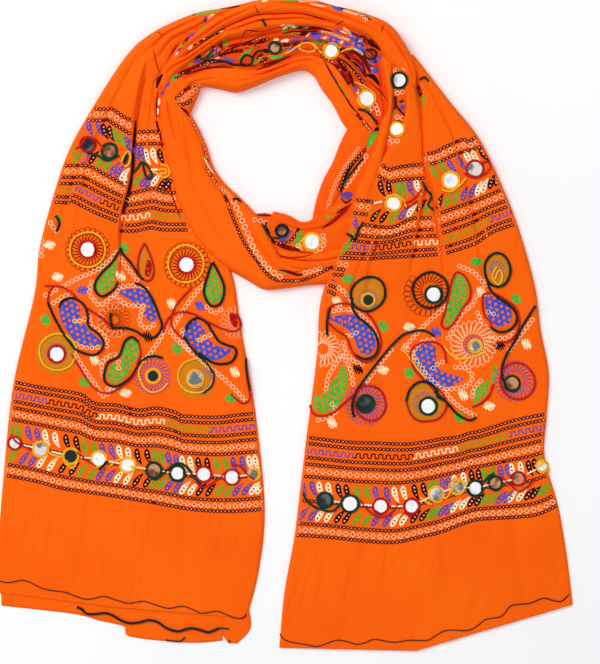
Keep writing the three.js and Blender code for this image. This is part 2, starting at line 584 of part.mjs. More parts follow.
// A flat-bottomed solid from its rows of top points: the top, a wall down to the surface, the underside.
function solidUnder(rows) {
  const corners = [];
  const outline = outlineOf(rows);
  const turnsLeft = THREE.ShapeUtils.area(outline) > 0;
  const face = (a, b, c) => corners.push(...(turnsLeft ? [a, b, c] : [a, c, b]));
  const ground = (p) => new THREE.Vector3(p.x, p.y, 0);
  const groundFace = (a, b, c) => face(ground(a), ground(c), ground(b));

  rows.slice(1).forEach((next, i) => {
    const row = rows[i];
    const [side, nextSide] = [row[row.length - 1], next[next.length - 1]];
    for (let j = 0; j + 1 < row.length; j++) {
      face(row[j], row[j + 1], next[j + 1]);
      face(row[j], next[j + 1], next[j]);
      if (i === 0) groundFace(next[0], row[j], row[j + 1]);
      if (i === rows.length - 2) groundFace(side, next[j + 1], next[j]);
    }
    if (i > 0) groundFace(row[0], side, next[0]);
    if (i < rows.length - 2) groundFace(next[0], side, nextSide);
  });
  outline.forEach((p, i) => {
    const next = outline[(i + 1) % outline.length];
    face(p, ground(p), ground(next));
    face(p, ground(next), next);
  });
  return new THREE.BufferGeometry().setFromPoints(corners);
}

// A geometry as a manifold-3d solid.
function toSolid(geometry) {
  const plain = geometry.index ? geometry.toNonIndexed() : geometry.clone();
  plain.deleteAttribute("normal");
  plain.deleteAttribute("uv");
  const merged = mergeVertices(plain, 1e-4);
  return new wasm.Manifold(
    new wasm.Mesh({
      numProp: 3,
      vertProperties: merged.attributes.position.array,
      triVerts: new Uint32Array(merged.index.array),
    }),
  );
}

function toGeometry(solid) {
  const mesh = solid.getMesh();
  const geometry = new THREE.BufferGeometry();
  const places = new THREE.BufferAttribute(new Float32Array(mesh.vertProperties), 3);
  geometry.setAttribute("position", places);
  geometry.setIndex(new THREE.BufferAttribute(new Uint32Array(mesh.triVerts), 1));
  return geometry.toNonIndexed();
}

// An upright block over an outline, wider than it by the seam gap all round.
function blockOver(outline) {
  const outwards = THREE.ShapeUtils.area(outline) > 0 ? 1 : -1;
  const wider = outline.map((p, i) => {
    const before = outline[(i + outline.length - 1) % outline.length];
    const after = outline[(i + 1) % outline.length];
    const along = new THREE.Vector2(after.x - before.x, after.y - before.y).normalize();
    const step = outwards * SEAM_GAP;
    return new THREE.Vector2(p.x + along.y * step, p.y - along.x * step);
  });
  const block = new THREE.ExtrudeGeometry(new THREE.Shape(wider), { depth: 100, bevelEnabled: false });
  return toSolid(block.translate(0, 0, -50));
}

const largestOf = (solid) =>
  solid.decompose().reduce((best, body) => (body.volume() > best.volume() ? body : best));

const cloth = (name) =>
  new THREE.MeshStandardMaterial({
    color: UNDER_STRETCHES.includes(name) ? UNDER_COLOUR : CLOTH_COLOUR,
    roughness: 0.85,
    metalness: 0,
    side: THREE.DoubleSide,
  });

function buildStretches() {
  const blocks = [];
  return STRETCHES.map((stretch) => {
    const rows = rowsOf(stretch);
    let solid = toSolid(solidUnder(rows));
    for (const block of blocks) solid = solid.subtract(block);
    blocks.push(blockOver(outlineOf(rows)));
    const mesh = new THREE.Mesh(toGeometry(largestOf(solid)), cloth(stretch.name));
    mesh.name = stretch.name;
    return mesh;
  });
}

// The highest point of the cloth over a place.
const DOWN = new THREE.Vector3(0, 0, -1);
function clothAt(x, y, pieces) {
  const ray = new THREE.Raycaster(new THREE.Vector3(x, y, 80), DOWN);
  const hits = ray.intersectObjects(pieces);
  return new THREE.Vector3(x, y, hits.length ? hits[0].point.z : 0);
}

// A round mirror made from the cloth's own points under it, moved up.
function mirrorOn(pieces, [x, y, radius]) {
  const middle = clothAt(x, y, pieces);
  const rim = Array.from({ length: MIRROR_SIDES }, (_, i) => {
    const angle = (2 * Math.PI * i) / MIRROR_SIDES;
    return clothAt(x + radius * Math.cos(angle), y + radius * Math.sin(angle), pieces);
  });
  const plane = levelThrough(middle, rim);
  const lift = [middle, ...rim].reduce((most, p) => Math.max(most, p.z - plane(p)), 0) + MIRROR_GAP;
  const raised = (p, extra) => new THREE.Vector3(p.x, p.y, plane(p) + lift + extra);
  const corners = [];
  rim.forEach((p, i) => {
    const next = rim[(i + 1) % MIRROR_SIDES];
    const [low, high] = [raised(p, 0), raised(p, MIRROR_THICKNESS)];
    const [lowNext, highNext] = [raised(next, 0), raised(next, MIRROR_THICKNESS)];
    corners.push(raised(middle, MIRROR_THICKNESS), high, highNext);
    corners.push(raised(middle, 0), lowNext, low);
    corners.push(low, lowNext, highNext, low, highNext, high);
  });
  return new THREE.BufferGeometry().setFromPoints(corners);
}

// The slope that a flat mirror takes on the cloth: a plane fitted to the rim.
function levelThrough(middle, rim) {
  let [slopeX, slopeY, spread] = [0, 0, 0];
  const mean = rim.reduce((sum, p) => sum + p.z, 0) / rim.length;
  for (const p of rim) {
    slopeX += (p.x - middle.x) * (p.z - mean);
    slopeY += (p.y - middle.y) * (p.z - mean);
    spread += (p.x - middle.x) ** 2;
  }
  return (p) => mean + ((p.x - middle.x) * slopeX + (p.y - middle.y) * slopeY) / spread;
}

const dupatta = new THREE.Group();
const pieces = buildStretches();
dupatta.add(...pieces);

const glass = new THREE.MeshStandardMaterial({ color: MIRROR_COLOUR, roughness: 0.08, metalness: 1 });
for (const [place, mirrors] of Object.entries(MIRRORS)) {
  mirrors.forEach((mirror, i) => {
    const mesh = new THREE.Mesh(mirrorOn(pieces, mirror), glass);
    mesh.name = `mirror_${place}_${i + 1}`;
    dupatta.add(mesh);
  });
}

export default dupatta;
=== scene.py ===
# A mirror work dupatta: one long bright orange cotton scarf with two printed and embroidered ends,
# wound once round the neck opening and laid flat. Metres in the meshes, millimetres in the tables.
import math

import bmesh
import bpy
from mathutils import Matrix, Vector, noise
from mathutils.bvhtree import BVHTree


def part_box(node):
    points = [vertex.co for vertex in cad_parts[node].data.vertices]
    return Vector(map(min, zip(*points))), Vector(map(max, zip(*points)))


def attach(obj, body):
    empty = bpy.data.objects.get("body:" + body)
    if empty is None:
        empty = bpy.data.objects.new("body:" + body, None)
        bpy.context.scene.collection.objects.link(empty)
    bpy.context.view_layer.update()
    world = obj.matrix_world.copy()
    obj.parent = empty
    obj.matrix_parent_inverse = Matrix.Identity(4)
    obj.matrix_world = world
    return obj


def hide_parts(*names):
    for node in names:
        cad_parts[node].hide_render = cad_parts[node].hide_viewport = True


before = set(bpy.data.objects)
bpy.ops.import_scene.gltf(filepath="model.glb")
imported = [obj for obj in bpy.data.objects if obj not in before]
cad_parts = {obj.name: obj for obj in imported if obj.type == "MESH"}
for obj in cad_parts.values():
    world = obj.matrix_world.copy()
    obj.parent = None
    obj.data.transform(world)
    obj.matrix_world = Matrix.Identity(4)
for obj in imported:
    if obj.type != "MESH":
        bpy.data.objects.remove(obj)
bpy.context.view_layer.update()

MM = 0.001

# Camera: straight above the scarf, far enough away that the high rolls at the neck lean out little.
VIEW_MIDDLE = (15 * MM, -9 * MM)
VIEW_HEIGHT = 664 * MM
LENS = 200
FILM = 36

camera_data = bpy.data.cameras.new("camera")
camera_data.lens = LENS
camera_data.sensor_width = FILM
camera_data.clip_end = 30
camera = bpy.data.objects.new("camera", camera_data)
camera.location = (*VIEW_MIDDLE, VIEW_HEIGHT * LENS / FILM)
bpy.context.scene.collection.objects.link(camera)
bpy.context.scene.camera = camera
bpy.context.scene.view_settings.view_transform = "Standard"

# The studio: a plain white floor under the scarf, a pale room round it that is a little darker low
# down, and one large soft lamp high up on the left.
FLOOR_HALF = 2.5
FLOOR_DROP = 0.3 * MM
LAMP_PLACE = Vector((-1.5, 1.3, 2.4))
LAMP_SIZE = 1.3
LAMP_POWER = 46
ROOM_LIGHT = 0.72


def new_piece(name, bm):
    mesh = bpy.data.meshes.new(name)
    bm.to_mesh(mesh)
    bm.free()
    piece = bpy.data.objects.new(name, mesh)
    bpy.context.scene.collection.objects.link(piece)
    return piece


def new_material(name):
    """A material, its node tree, and its Principled shader."""
    material = bpy.data.materials.new(name)
    material.use_nodes = True
    return material, material.node_tree, material.node_tree.nodes["Principled BSDF"]


def shade(red, green, blue):
    """A colour given as it looks on a screen, from 0 to 255, as the shader needs it."""
    return (*((max(c, 1) / 255) ** 2.2 for c in (red, green, blue)), 1)


def add_noise(tree, coordinates, scale, detail=2):
    texture = tree.nodes.new("ShaderNodeTexNoise")
    texture.inputs["Scale"].default_value = scale
    texture.inputs["Detail"].default_value = detail
    tree.links.new(coordinates, texture.inputs["Vector"])
    return texture.outputs["Fac"]


def add_ramp(tree, value, *stops):
    """A colour ramp over value, from (position, colour) stops."""
    ramp = tree.nodes.new("ShaderNodeValToRGB")
    elements = ramp.color_ramp.elements
    for element, (position, colour) in zip(elements, (stops[0], stops[-1])):
        element.position = position
        element.color = colour
    for position, colour in stops[1:-1]:
        elements.new(position).color = colour
    tree.links.new(value, ramp.inputs["Fac"])
    return ramp.outputs["Color"]


def set_sockets(shader, levels):
    """Sets what is the same all over a surface."""
    for socket, level in levels.items():
        shader.inputs[socket].default_value = level


floor_mesh = bmesh.new()
bmesh.ops.create_grid(floor_mesh, x_segments=1, y_segments=1, size=FLOOR_HALF)
bmesh.ops.translate(floor_mesh, verts=floor_mesh.verts, vec=(0, 0, -FLOOR_DROP))
floor = new_piece("floor", floor_mesh)
floor_paper, tree, shader = new_material("floor_paper")
place = tree.nodes.new("ShaderNodeTexCoord").outputs["Object"]
paper_tone = add_ramp(
    tree, add_noise(tree, place, 3), (0.3, shade(249, 249, 250)), (0.7, shade(255, 255, 255))
)
tree.links.new(paper_tone, shader.inputs["Base Color"])
set_sockets(shader, {"Roughness": 0.9, "Specular IOR Level": 0.1})
floor.data.materials.append(floor_paper)

room = bpy.data.worlds.new("room")
bpy.context.scene.world = room
room.use_nodes = True
background = room.node_tree.nodes["Background"]
background.inputs["Strength"].default_value = ROOM_LIGHT
direction = room.node_tree.nodes.new("ShaderNodeTexCoord").outputs["Generated"]
height = room.node_tree.nodes.new("ShaderNodeSeparateXYZ")
room.node_tree.links.new(direction, height.inputs["Vector"])
room_tone = add_ramp(
    room.node_tree, height.outputs["Z"], (0, shade(205, 208, 212)), (0.75, shade(255, 255, 255))
)
room.node_tree.links.new(room_tone, background.inputs["Color"])

lamp_data = bpy.data.lights.new("lamp", "AREA")
lamp_data.size = LAMP_SIZE
lamp_data.energy = LAMP_POWER
lamp = bpy.data.objects.new("lamp", lamp_data)
lamp.location = LAMP_PLACE
lamp.rotation_mode = "QUATERNION"
lamp.rotation_quaternion = (-LAMP_PLACE).to_track_quat("-Z", "Y")
bpy.context.scene.collection.objects.link(lamp)

# The left end, from its hem up to the shoulder: thin cotton, pleated so that the outer part lies over
# the rest from the shoulder down to about 330 mm above the hem. Each section of the table names the
# points that its lines pass, as (x, y, height at the line, height of the cloth just inside it).
# Lines: left, foldTop, foldFoot, right.
TAIL_LEFT = [
    ((-287, -269, 1.4, 3), (-170, -284, 3.2, 3.2), (-169, -284, 3.2, 3.2), (-39, -295, 1.4, 3)),
    ((-286, -222, 1.4, 3.4), (-169, -234, 3.6, 3.6), (-168, -234, 3.6, 3.6), (-27, -248, 1.4, 3.4)),
    ((-281, -156, 1.4, 3.8), (-167, -171, 4.2, 4.2), (-166, -171, 4.2, 4.2), (-21, -185, 1.4, 4)),
    ((-271, -62, 1.4, 4.6), (-168, -83, 5, 5), (-167, -83, 5, 5), (-30, -91, 1.4, 4.8)),
    ((-250, 28, 1.5, 5.5), (-166, 0, 6.2, 6.2), (-165, 0, 6.2, 6.2), (-45, -2, 1.5, 5.6)),
    ((-245, 73, 1.6, 6.5), (-165, 59, 7, 8), (-164, 55, 5.8, 5.8), (-53, 47, 1.6, 6)),
    ((-233, 120, 1.8, 8), (-165, 101, 8.2, 10.5), (-163, 92, 5.4, 5.4), (-72, 90, 2, 6.5)),
    ((-216, 171, 2, 10), (-154, 151, 10, 12.5), (-152, 145, 6.2, 6.2), (-100, 148, 3, 8)),
    ((-193, 213, 2, 12), (-151, 199, 11.5, 14.5), (-149, 190, 7.5, 7.5), (-113, 191, 4, 10)),
    ((-166, 256, 2, 13.5), (-144, 241, 13, 16), (-142, 233, 9, 9), (-118, 225, 5, 11)),
    ((-150, 276, 2, 14), (-135, 267, 13, 16), (-133, 264, 11, 11), (-122, 248, 6, 12)),
    ((-140, 284, 2, 12.5), (-128, 274, 11, 13.5), (-126, 271, 10, 10), (-116, 257, 6, 11)),
]
TAIL_LEFT_CREASES = [
    ((0.3, 0.36), (0.02, 0.3), 0.9, 9),
    ((0.52, 0.47), (0.12, 0.38), 1.2, 8),
    ((0.74, 0.68), (0, 0.22), 0.9, 10),
    ((0.82, 0.7), (0.24, 0.56), 1.3, 7),
    ((0.16, 0.22), (0.45, 0.98), 2.4, 5),
    ((0.74, 0.8), (0.66, 1), 2.2, 4),
    ((0.05, 0.125), (0.46, 0.66), 1.8, -2.4),
    ((0.58, 0.45), (0.76, 0.97), 3.4, 2.4),
    ((0.9, 0.72), (0.84, 1), 3.2, 2),
]

TAIL_TURN = 6  # how far in from a line the cloth has turned down to it
EDGE_POWER = 2.7
STEEP_SIDE = 2.2
CREASE_ENDS = 0.6  # how soon a crease deepens from its ends: sooner if lower
NARROW_BAND = 3  # a band with so few columns is the edge of a fold
FOLD_DIP = 0.5  # how far the cloth dips under the edge of a fold, as a share of the fold's height
LOWEST_FOOT = 1.2
LEAST_HEIGHT = 0.8
BUNCHING = 0.6  # how far the columns gather beside the lines
FADE_IN = 4  # how far in from a line the creases and wrinkles reach their full depth
WRINKLES = ((19, 95, 0), (6.5, 34, 7), (15, 110, 13), (40, 45, 19))  # (size across, along, shift)
FINE_SHARE, SHARP_SHARE, SHARPNESS = 0.45, 3.2, 9
WALL_STEPS = ((0.55, 0.5), (0.2, 0.2), (0, -0.6))  # (share of the height left, distance outwards)
WEAVE_PITCH = 0.55 * MM


def between(before, start, end, after, t):
    """A smooth curve from start to end that goes on into the points before and after them."""
    lean = (end - before) / 2
    lean_after = (after - start) / 2
    rise = end - start
    return start + t * (lean + t * (3 * rise - 2 * lean - lean_after + t * (lean + lean_after - 2 * rise)))


def lines_at(sections, along):
    """The points of a stretch's lines at a place along it, counted in sections."""
    last = len(sections) - 1
    index = min(int(along), last - 1)
    near = [sections[max(0, min(last, index + step))] for step in (-1, 0, 1, 2)]
    count = len(sections[0])
    return [between(*(Vector(s[line]) for s in near), along - index) for line in range(count)]


def turned_down(share):
    """How far cloth has turned down at a share of the way in from its edge: it drops late and steeply."""
    return 0 if share >= 1 else 1 - (1 - (1 - share) ** EDGE_POWER) ** (1 / EDGE_POWER)


def crease_depth(creases, across, along, width):
    """How deep the creases are at a place: each a ((across, across), (along, along), depth, width).

    A crease is steep on one side, as where cloth folds over: the left, or the right if its width
    is below 0.
    """
    depth = 0
    for (first, last), (start, end), deepest, breadth in creases:
        share = (along - start) / (end - start)
        if 0 < share < 1:
            away = (across - (first + (last - first) * share)) * width / breadth
            away *= 1 if away > 0 else STEEP_SIDE
            depth += deepest * math.sin(math.pi * share) ** CREASE_ENDS * math.exp(-away * away)
    return depth


def crumpling(across, along, seed):
    """Small uneven wrinkles that run along the cloth, with a few sharp ones that come and go."""
    broad, fine, sharp, shown = (
        noise.noise(Vector((across / wide, along / long, seed + shift))) for wide, long, shift in WRINKLES
    )
    sharp = max(0, 1 - SHARPNESS * abs(sharp))
    return broad + FINE_SHARE * fine - SHARP_SHARE * sharp * max(0, shown)


def press_folds(row_lines, columns):
    """Lets the cloth under the edge of each fold dip."""
    for lines in row_lines:
        for band, count in enumerate(columns):
            if count <= NARROW_BAND:
                foot, top = sorted(lines[band : band + 2], key=lambda line: line.w)
                foot.z -= max(0, min(FOLD_DIP * (top.w - foot.w), foot.z - LOWEST_FOOT))


def lengths_along(row_lines):
    """How far along the cloth each row is, as the mean over its lines."""
    lengths = [0]
    for below, above in zip(row_lines, row_lines[1:]):
        steps = [(b.xy - a.xy).length for a, b in zip(below, above)]
        lengths.append(lengths[-1] + sum(steps) / len(steps))
    return lengths


def tuck_under(bm, cloth_place, rim_place):
    """Adds the walls that go down from the cloth's edge and tuck under it, and the flat underside."""
    for v in bm.verts:
        if v.is_boundary:
            inner = [e.other_vert(v) for e in v.link_edges if not e.is_boundary]
            inner = inner or [e.other_vert(v) for e in v.link_edges]
            out = sum(((v.co - n.co) for n in inner), Vector())
            out.z = 0
            out.normalize()
            v[rim_place] = (out.x, out.y, v.co.z)
    for share, outwards in WALL_STEPS:
        rim = [e for e in bm.edges if e.is_boundary]
        made = bmesh.ops.extrude_edge_only(bm, edges=rim)["geom"]
        for v in made:
            if isinstance(v, bmesh.types.BMVert):
                out_x, out_y, top = v[rim_place]
                v[cloth_place] = v[cloth_place] + Vector((v.co.z - top * share, 0, 0))
                v.co.z = top * share
                v.co.x += out_x * outwards * MM
                v.co.y += out_y * outwards * MM
    bmesh.ops.holes_fill(bm, edges=[e for e in bm.edges if e.is_boundary], sides=0)
    bmesh.ops.recalc_face_normals(bm, faces=bm.faces)


def lay_cloth(name, sections, columns, rows, turn, creases, crumple, seed):
    """A stretch of cloth over the surface: its top, walls that tuck under, and its flat underside."""
    bm = bmesh.new()
    bmesh.ops.create_grid(bm, x_segments=sum(columns), y_segments=rows, size=0.5)
    panel = bm.faces.layers.int.new("panel")
    for face in bm.faces:
        column = (face.calc_center_median().x + 0.5) * sum(columns)
        face[panel] = sum(column > sum(columns[: band + 1]) for band in range(len(columns)))
    cloth_place = bm.verts.layers.float_vector.new("cloth_place")
    rim_place = bm.verts.layers.float_vector.new("rim_place")

    row_lines = [lines_at(sections, i / rows * (len(sections) - 1)) for i in range(rows + 1)]
    press_folds(row_lines, columns)
    lengths = lengths_along(row_lines)
    for v in bm.verts:
        row = round((v.co.y + 0.5) * rows)
        column = round((v.co.x + 0.5) * sum(columns))
        band = 0
        while column > columns[band]:
            column -= columns[band]
            band += 1
        a, b = row_lines[row][band : band + 2]
        widths = [(after.xy - before.xy).length for before, after in zip(row_lines[row], row_lines[row][1:])]
        even = column / columns[band]
        bunched = (1 - math.cos(math.pi * even)) / 2
        t = even * (1 - BUNCHING) + bunched * BUNCHING
        from_a, from_b = t * widths[band], (1 - t) * widths[band]
        across = sum(widths[:band]) + from_a
        point = a.lerp(b, t)
        if columns[band] > NARROW_BAND:
            reach = min(turn, widths[band] / 2)
            z = point.w - (a.w - a.z) * turned_down(from_a / reach)
            z -= (b.w - b.z) * turned_down(from_b / reach)
            room = min(1, from_a / FADE_IN, from_b / FADE_IN)
            z -= crease_depth(creases, across / sum(widths), row / rows, sum(widths)) * room
            z += crumple * crumpling(across, lengths[row], seed) * room
        else:
            z = a.z + (b.z - a.z) * t
        v.co = Vector((point.x, point.y, max(z, LEAST_HEIGHT))) * MM
        v[cloth_place] = Vector((across, lengths[row], 0)) * MM
    tuck_under(bm, cloth_place, rim_place)

    uv = bm.loops.layers.uv.new("cloth")
    for face in bm.faces:
        face.smooth = len(face.verts) == 4
        for loop in face.loops:
            loop[uv].uv = loop.vert[cloth_place].xy
    bm.verts.layers.float_vector.remove(cloth_place)
    bm.verts.layers.float_vector.remove(bm.verts.layers.float_vector["rim_place"])
    return new_piece(name, bm)


# Plain weave: threads crossing over and under, as a height from 0 to 1, and slubs, the thicker places
# in single threads, as a mask.
weave = bpy.data.node_groups.new("plain_weave", "ShaderNodeTree")
weave.interface.new_socket("Place", in_out="INPUT", socket_type="NodeSocketVector")
pitch_socket = weave.interface.new_socket("Pitch", in_out="INPUT", socket_type="NodeSocketFloat")
pitch_socket.default_value = WEAVE_PITCH
weave.interface.new_socket("Height", in_out="OUTPUT", socket_type="NodeSocketFloat")
weave.interface.new_socket("Slubs", in_out="OUTPUT", socket_type="NodeSocketFloat")
weave_in = weave.nodes.new("NodeGroupInput")
weave_out = weave.nodes.new("NodeGroupOutput")


def add_math(tree, operation, first, second=None):
    node = tree.nodes.new("ShaderNodeMath")
    node.operation = operation
    for socket, value in zip(node.inputs, (first, second)):
        if isinstance(value, (int, float)):
            socket.default_value = value
        elif value is not None:
            tree.links.new(value, socket)
    return node.outputs["Value"]


split = weave.nodes.new("ShaderNodeSeparateXYZ")
weave.links.new(weave_in.outputs["Place"], split.inputs["Vector"])
turns = add_math(weave, "DIVIDE", math.pi, weave_in.outputs["Pitch"])
warp = add_math(weave, "SINE", add_math(weave, "MULTIPLY", split.outputs["X"], turns))
weft = add_math(weave, "SINE", add_math(weave, "MULTIPLY", split.outputs["Y"], turns))
crossing = add_math(weave, "MULTIPLY", warp, weft)
lifted = add_math(weave, "ADD", add_math(weave, "MULTIPLY", crossing, 0.5), 0.5)
stretch = weave.nodes.new("ShaderNodeMapping")
stretch.inputs["Scale"].default_value = (1, 0.06, 1)
weave.links.new(weave_in.outputs["Place"], stretch.inputs["Vector"])
slubs = add_noise(weave, stretch.outputs["Vector"], 900, 1)
weave.links.new(lifted, weave_out.inputs["Height"])
weave.links.new(slubs, weave_out.inputs["Slubs"])


def weigh(tree, first, share, second):
    """Two values added up, the first by its share and the second by the rest."""
    parts = (add_math(tree, "MULTIPLY", first, share), add_math(tree, "MULTIPLY", second, 1 - share))
    return add_math(tree, "ADD", *parts)


def add_weave(tree, place):
    threads = tree.nodes.new("ShaderNodeGroup")
    threads.node_tree = weave
    tree.links.new(place, threads.inputs["Place"])
    return threads.outputs


def add_bump(tree, shader, height, strength, depth):
    bump = tree.nodes.new("ShaderNodeBump")
    bump.inputs["Strength"].default_value = strength
    bump.inputs["Distance"].default_value = depth
    tree.links.new(height, bump.inputs["Height"])
    tree.links.new(bump.outputs["Normal"], shader.inputs["Normal"])


def dyed_cotton(name, light, dark, mottle=9):
    """Plain woven cotton: its dye a little uneven, its threads standing up and its slubs darker."""
    material, tree, shader = new_material(name)
    place = tree.nodes.new("ShaderNodeUVMap")
    place.uv_map = "cloth"
    threads = add_weave(tree, place.outputs["UV"])
    uneven = weigh(tree, add_noise(tree, place.outputs["UV"], mottle, 3), 0.75, threads["Slubs"])
    tree.links.new(add_ramp(tree, uneven, (0.32, dark), (0.6, light)), shader.inputs["Base Color"])
    raised = add_math(tree, "ADD", threads["Height"], threads["Slubs"])
    add_bump(tree, shader, raised, 0.35, 0.15 * MM)
    set_sockets(shader, {
        "Roughness": 0.82, "Specular IOR Level": 0.12,
        "Sheen Weight": 0.08, "Sheen Roughness": 0.5, "Sheen Tint": shade(255, 150, 80),
    })
    return material


def finish_piece(piece, material):
    """Gives a piece of cloth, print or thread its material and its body."""
    piece.data.materials.append(material)
    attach(piece, "root")


def fit_cloth(piece, node, cotton, flat, held, rests_on=("floor",)):
    """Puts a stretch of cloth in place of its plain solid."""
    finish_piece(piece, cotton)
    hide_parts(node)
    cloths[node] = piece
    sheets[node] = (flat, held, list(rests_on))


cloths = {}
sheets = {}
outer_cotton = dyed_cotton("outer_cotton", shade(255, 102, 6), shade(249, 92, 3))
# The same orange cotton made a little darker, as painted shade on the layers that lie under others.
lower_layer_shaded_cotton = dyed_cotton("lower_layer_shaded_cotton", shade(250, 93, 5), shade(238, 80, 2), 16)
# The same orange cotton made darker still, as painted shade on the crumpled layer deep between the rolls.
deep_layer_shaded_cotton = dyed_cotton("deep_layer_shaded_cotton", shade(240, 80, 6), shade(214, 62, 4), 22)

tail_left = lay_cloth("left_end", TAIL_LEFT, (64, 3, 64), 330, TAIL_TURN, TAIL_LEFT_CREASES, 0.6, 3.1)
fit_cloth(tail_left, "tail_left", outer_cotton, (0.235, 0.585), "laid")

# The right end, where the right part is the one pleated over the left, from the shoulder down. It lies
# over the ends of the stretches in front of the neck.
# Lines: left, foldFoot, foldTop, right.
TAIL_RIGHT = [
    ((-5, -324, 1.4, 3), (130, -327, 3, 3), (131, -327, 3, 3), (287, -281, 1.4, 3)),
    ((0, -270, 1.4, 3.4), (133, -272, 3.6, 3.6), (134, -272, 3.6, 3.6), (281, -232, 1.4, 3.4)),
    ((10, -214, 1.4, 3.8), (135, -217, 4.2, 4.2), (136, -217, 4.2, 4.2), (272, -181, 1.4, 4)),
    ((16, -165, 1.4, 4.3), (144, -168, 4.7, 4.7), (145, -168, 4.7, 4.7), (259, -134, 1.4, 4.4)),
    ((22, -115, 1.4, 4.8), (152, -117, 5.2, 5.2), (153, -117, 5.2, 5.2), (261, -93, 1.4, 4.8)),
    ((28, -70, 1.4, 5.2), (155, -68, 5.8, 5.8), (156, -68, 5.8, 5.8), (263, -50, 1.4, 5.2)),
    ((33, -27, 1.5, 6), (156, -24, 6.4, 6.4), (157, -24, 6.4, 6.4), (255, -7, 1.5, 5.5)),
    ((36, 20, 1.6, 8), (157, 23, 6.8, 6.8), (158, 25, 7.4, 7.8), (249, 37, 1.6, 6.2)),
    ((49, 59, 2, 12), (156, 67, 6.8, 6.8), (158, 71, 8.6, 10.5), (232, 97, 1.8, 7)),
    ((72, 109, 6, 15), (148, 117, 8, 8), (150, 125, 11.5, 14), (211, 149, 2, 9)),
    ((93, 157, 8, 17), (139, 156, 10, 10.5), (140, 166, 13.5, 16.5), (191, 188, 2, 11)),
    ((117, 200, 10, 21), (136, 193, 11.5, 16), (138, 203, 12.5, 15), (165, 220, 2, 12)),
    ((119, 235, 11, 22), (131, 229, 11.5, 19), (133, 238, 11.5, 13.5), (145, 246, 2, 12)),
    ((110, 265, 11, 17), (120, 262, 11, 16), (122, 266, 10, 11), (128, 268, 2, 9)),
]
TAIL_RIGHT_CREASES = [
    ((0.58, 0.5), (0.06, 0.3), 1.4, 8),
    ((0.2, 0.28), (0, 0.18), 0.9, 10),
    ((0.84, 0.8), (0.02, 0.26), 1, 9),
    ((0.3, 0.24), (0.3, 0.52), 1.1, 8),
    ((0.22, 0.18), (0.5, 0.72), 2.4, 5),
    ((0.76, 0.84), (0.5, 0.96), 2.4, 5),
    ((0.84, 0.76), (0.56, 0.74), 1.6, -4),
    ((0.41, 0.47), (0.58, 0.78), 4.6, 5),
    ((0.1, 0.16), (0.44, 0.7), 2.2, 3),
]
tail_right = lay_cloth("right_end", TAIL_RIGHT, (64, 3, 64), 340, TAIL_TURN, TAIL_RIGHT_CREASES, 0.6, 11.7)
fit_cloth(tail_right, "tail_right", outer_cotton, (0.25, 0.6), "laid", ("floor", "front_sweep"))

# The back layer of the left end, which shows below the front hem, with its turned corner.
# Lines: front, hem.
TAIL_LEFT_UNDER = [
    ((-283, -262, 1.6, 1.6), (-283, -282, 0.8, 1.6)),
    ((-213, -270, 1.6, 1.6), (-213, -290, 0.8, 1.6)),
    ((-185, -273, 1.6, 1.6), (-185, -297, 0.8, 1.6)),
    ((-162, -277, 1.6, 1.6), (-161, -303, 0.8, 1.6)),
    ((-154, -278, 1.6, 1.6), (-154, -313, 0.8, 1.8)),
    ((-97, -284, 1.6, 1.6), (-97, -319, 0.8, 1.8)),
    ((-63, -287, 1.6, 1.6), (-63, -317, 0.8, 1.6)),
]
# Lines: left, right.
TAIL_LEFT_CORNER = [
    ((-62, -285, 1.8, 1.8), (-37, -283, 1.2, 1.8)),
    ((-62, -309, 1, 1.8), (-35, -305, 0.8, 1.8)),
    ((-57, -319, 0.8, 1.4), (-48, -320, 0.8, 1.4)),
]
tail_left_under = lay_cloth("left_end_back_layer", TAIL_LEFT_UNDER, (16,), 140, 3, (), 0.2, 5.2)
fit_cloth(tail_left_under, "tail_left_under", outer_cotton, (0.032, 0.225), "laid")
tail_left_corner = lay_cloth("left_end_corner", TAIL_LEFT_CORNER, (14,), 24, 2, (), 0.1, 5.9)
fit_cloth(tail_left_corner, "tail_left_corner", outer_cotton, (0.026, 0.036), "folded")

# The broad plain stretch that comes off the back of the neck on the left and sweeps across the front.
# Lines: outer, inner.
FRONT_LEFT = [
    ((-116, 240, 6, 9.5), (-91, 223, 2, 8.5)),
    ((-124, 224, 8, 15), (-95, 211, 3, 13)),
    ((-124, 201, 8, 16), (-87, 195, 2.5, 15)),
    ((-121, 180, 8, 15.5), (-79, 177, 2, 14)),
    ((-115, 155, 7, 15), (-72, 156, 2, 13)),
    ((-108, 128, 6, 14), (-60, 139, 2, 12)),
    ((-102, 110, 5, 13.5), (-45, 125, 2, 12)),
    ((-87, 83, 3, 13), (-29, 108, 4, 13)),
    ((-65, 60, 1.8, 12.5), (-18, 91, 9, 16)),
    ((-37, 43, 1.8, 12), (-8, 72, 9, 17)),
    ((-20, 34, 1.8, 12), (1, 60, 8, 16)),
    ((0, 35, 1.8, 11), (15, 55, 7, 13)),
    ((23, 38, 1.8, 10), (33, 55, 6, 11)),
    ((50, 40, 1.8, 8), (55, 61, 5, 9)),
]
FRONT_LEFT_CREASES = [
    ((0.24, 0.34), (0, 0.24), 3.2, 3),
    ((0.8, 0.72), (0.26, 0.94), 2.6, 2.2),
    ((0.45, 0.3), (0.3, 0.72), 1.8, 6),
    ((0.6, 0.5), (0.02, 0.34), 1.6, -4),
]
front_left = lay_cloth("front_sweep", FRONT_LEFT, (60,), 220, 15, FRONT_LEFT_CREASES, 1, 21.3)
fit_cloth(front_left, "front_left", outer_cotton, (0.055, 0.27), "draped", ("floor", "left_end"))

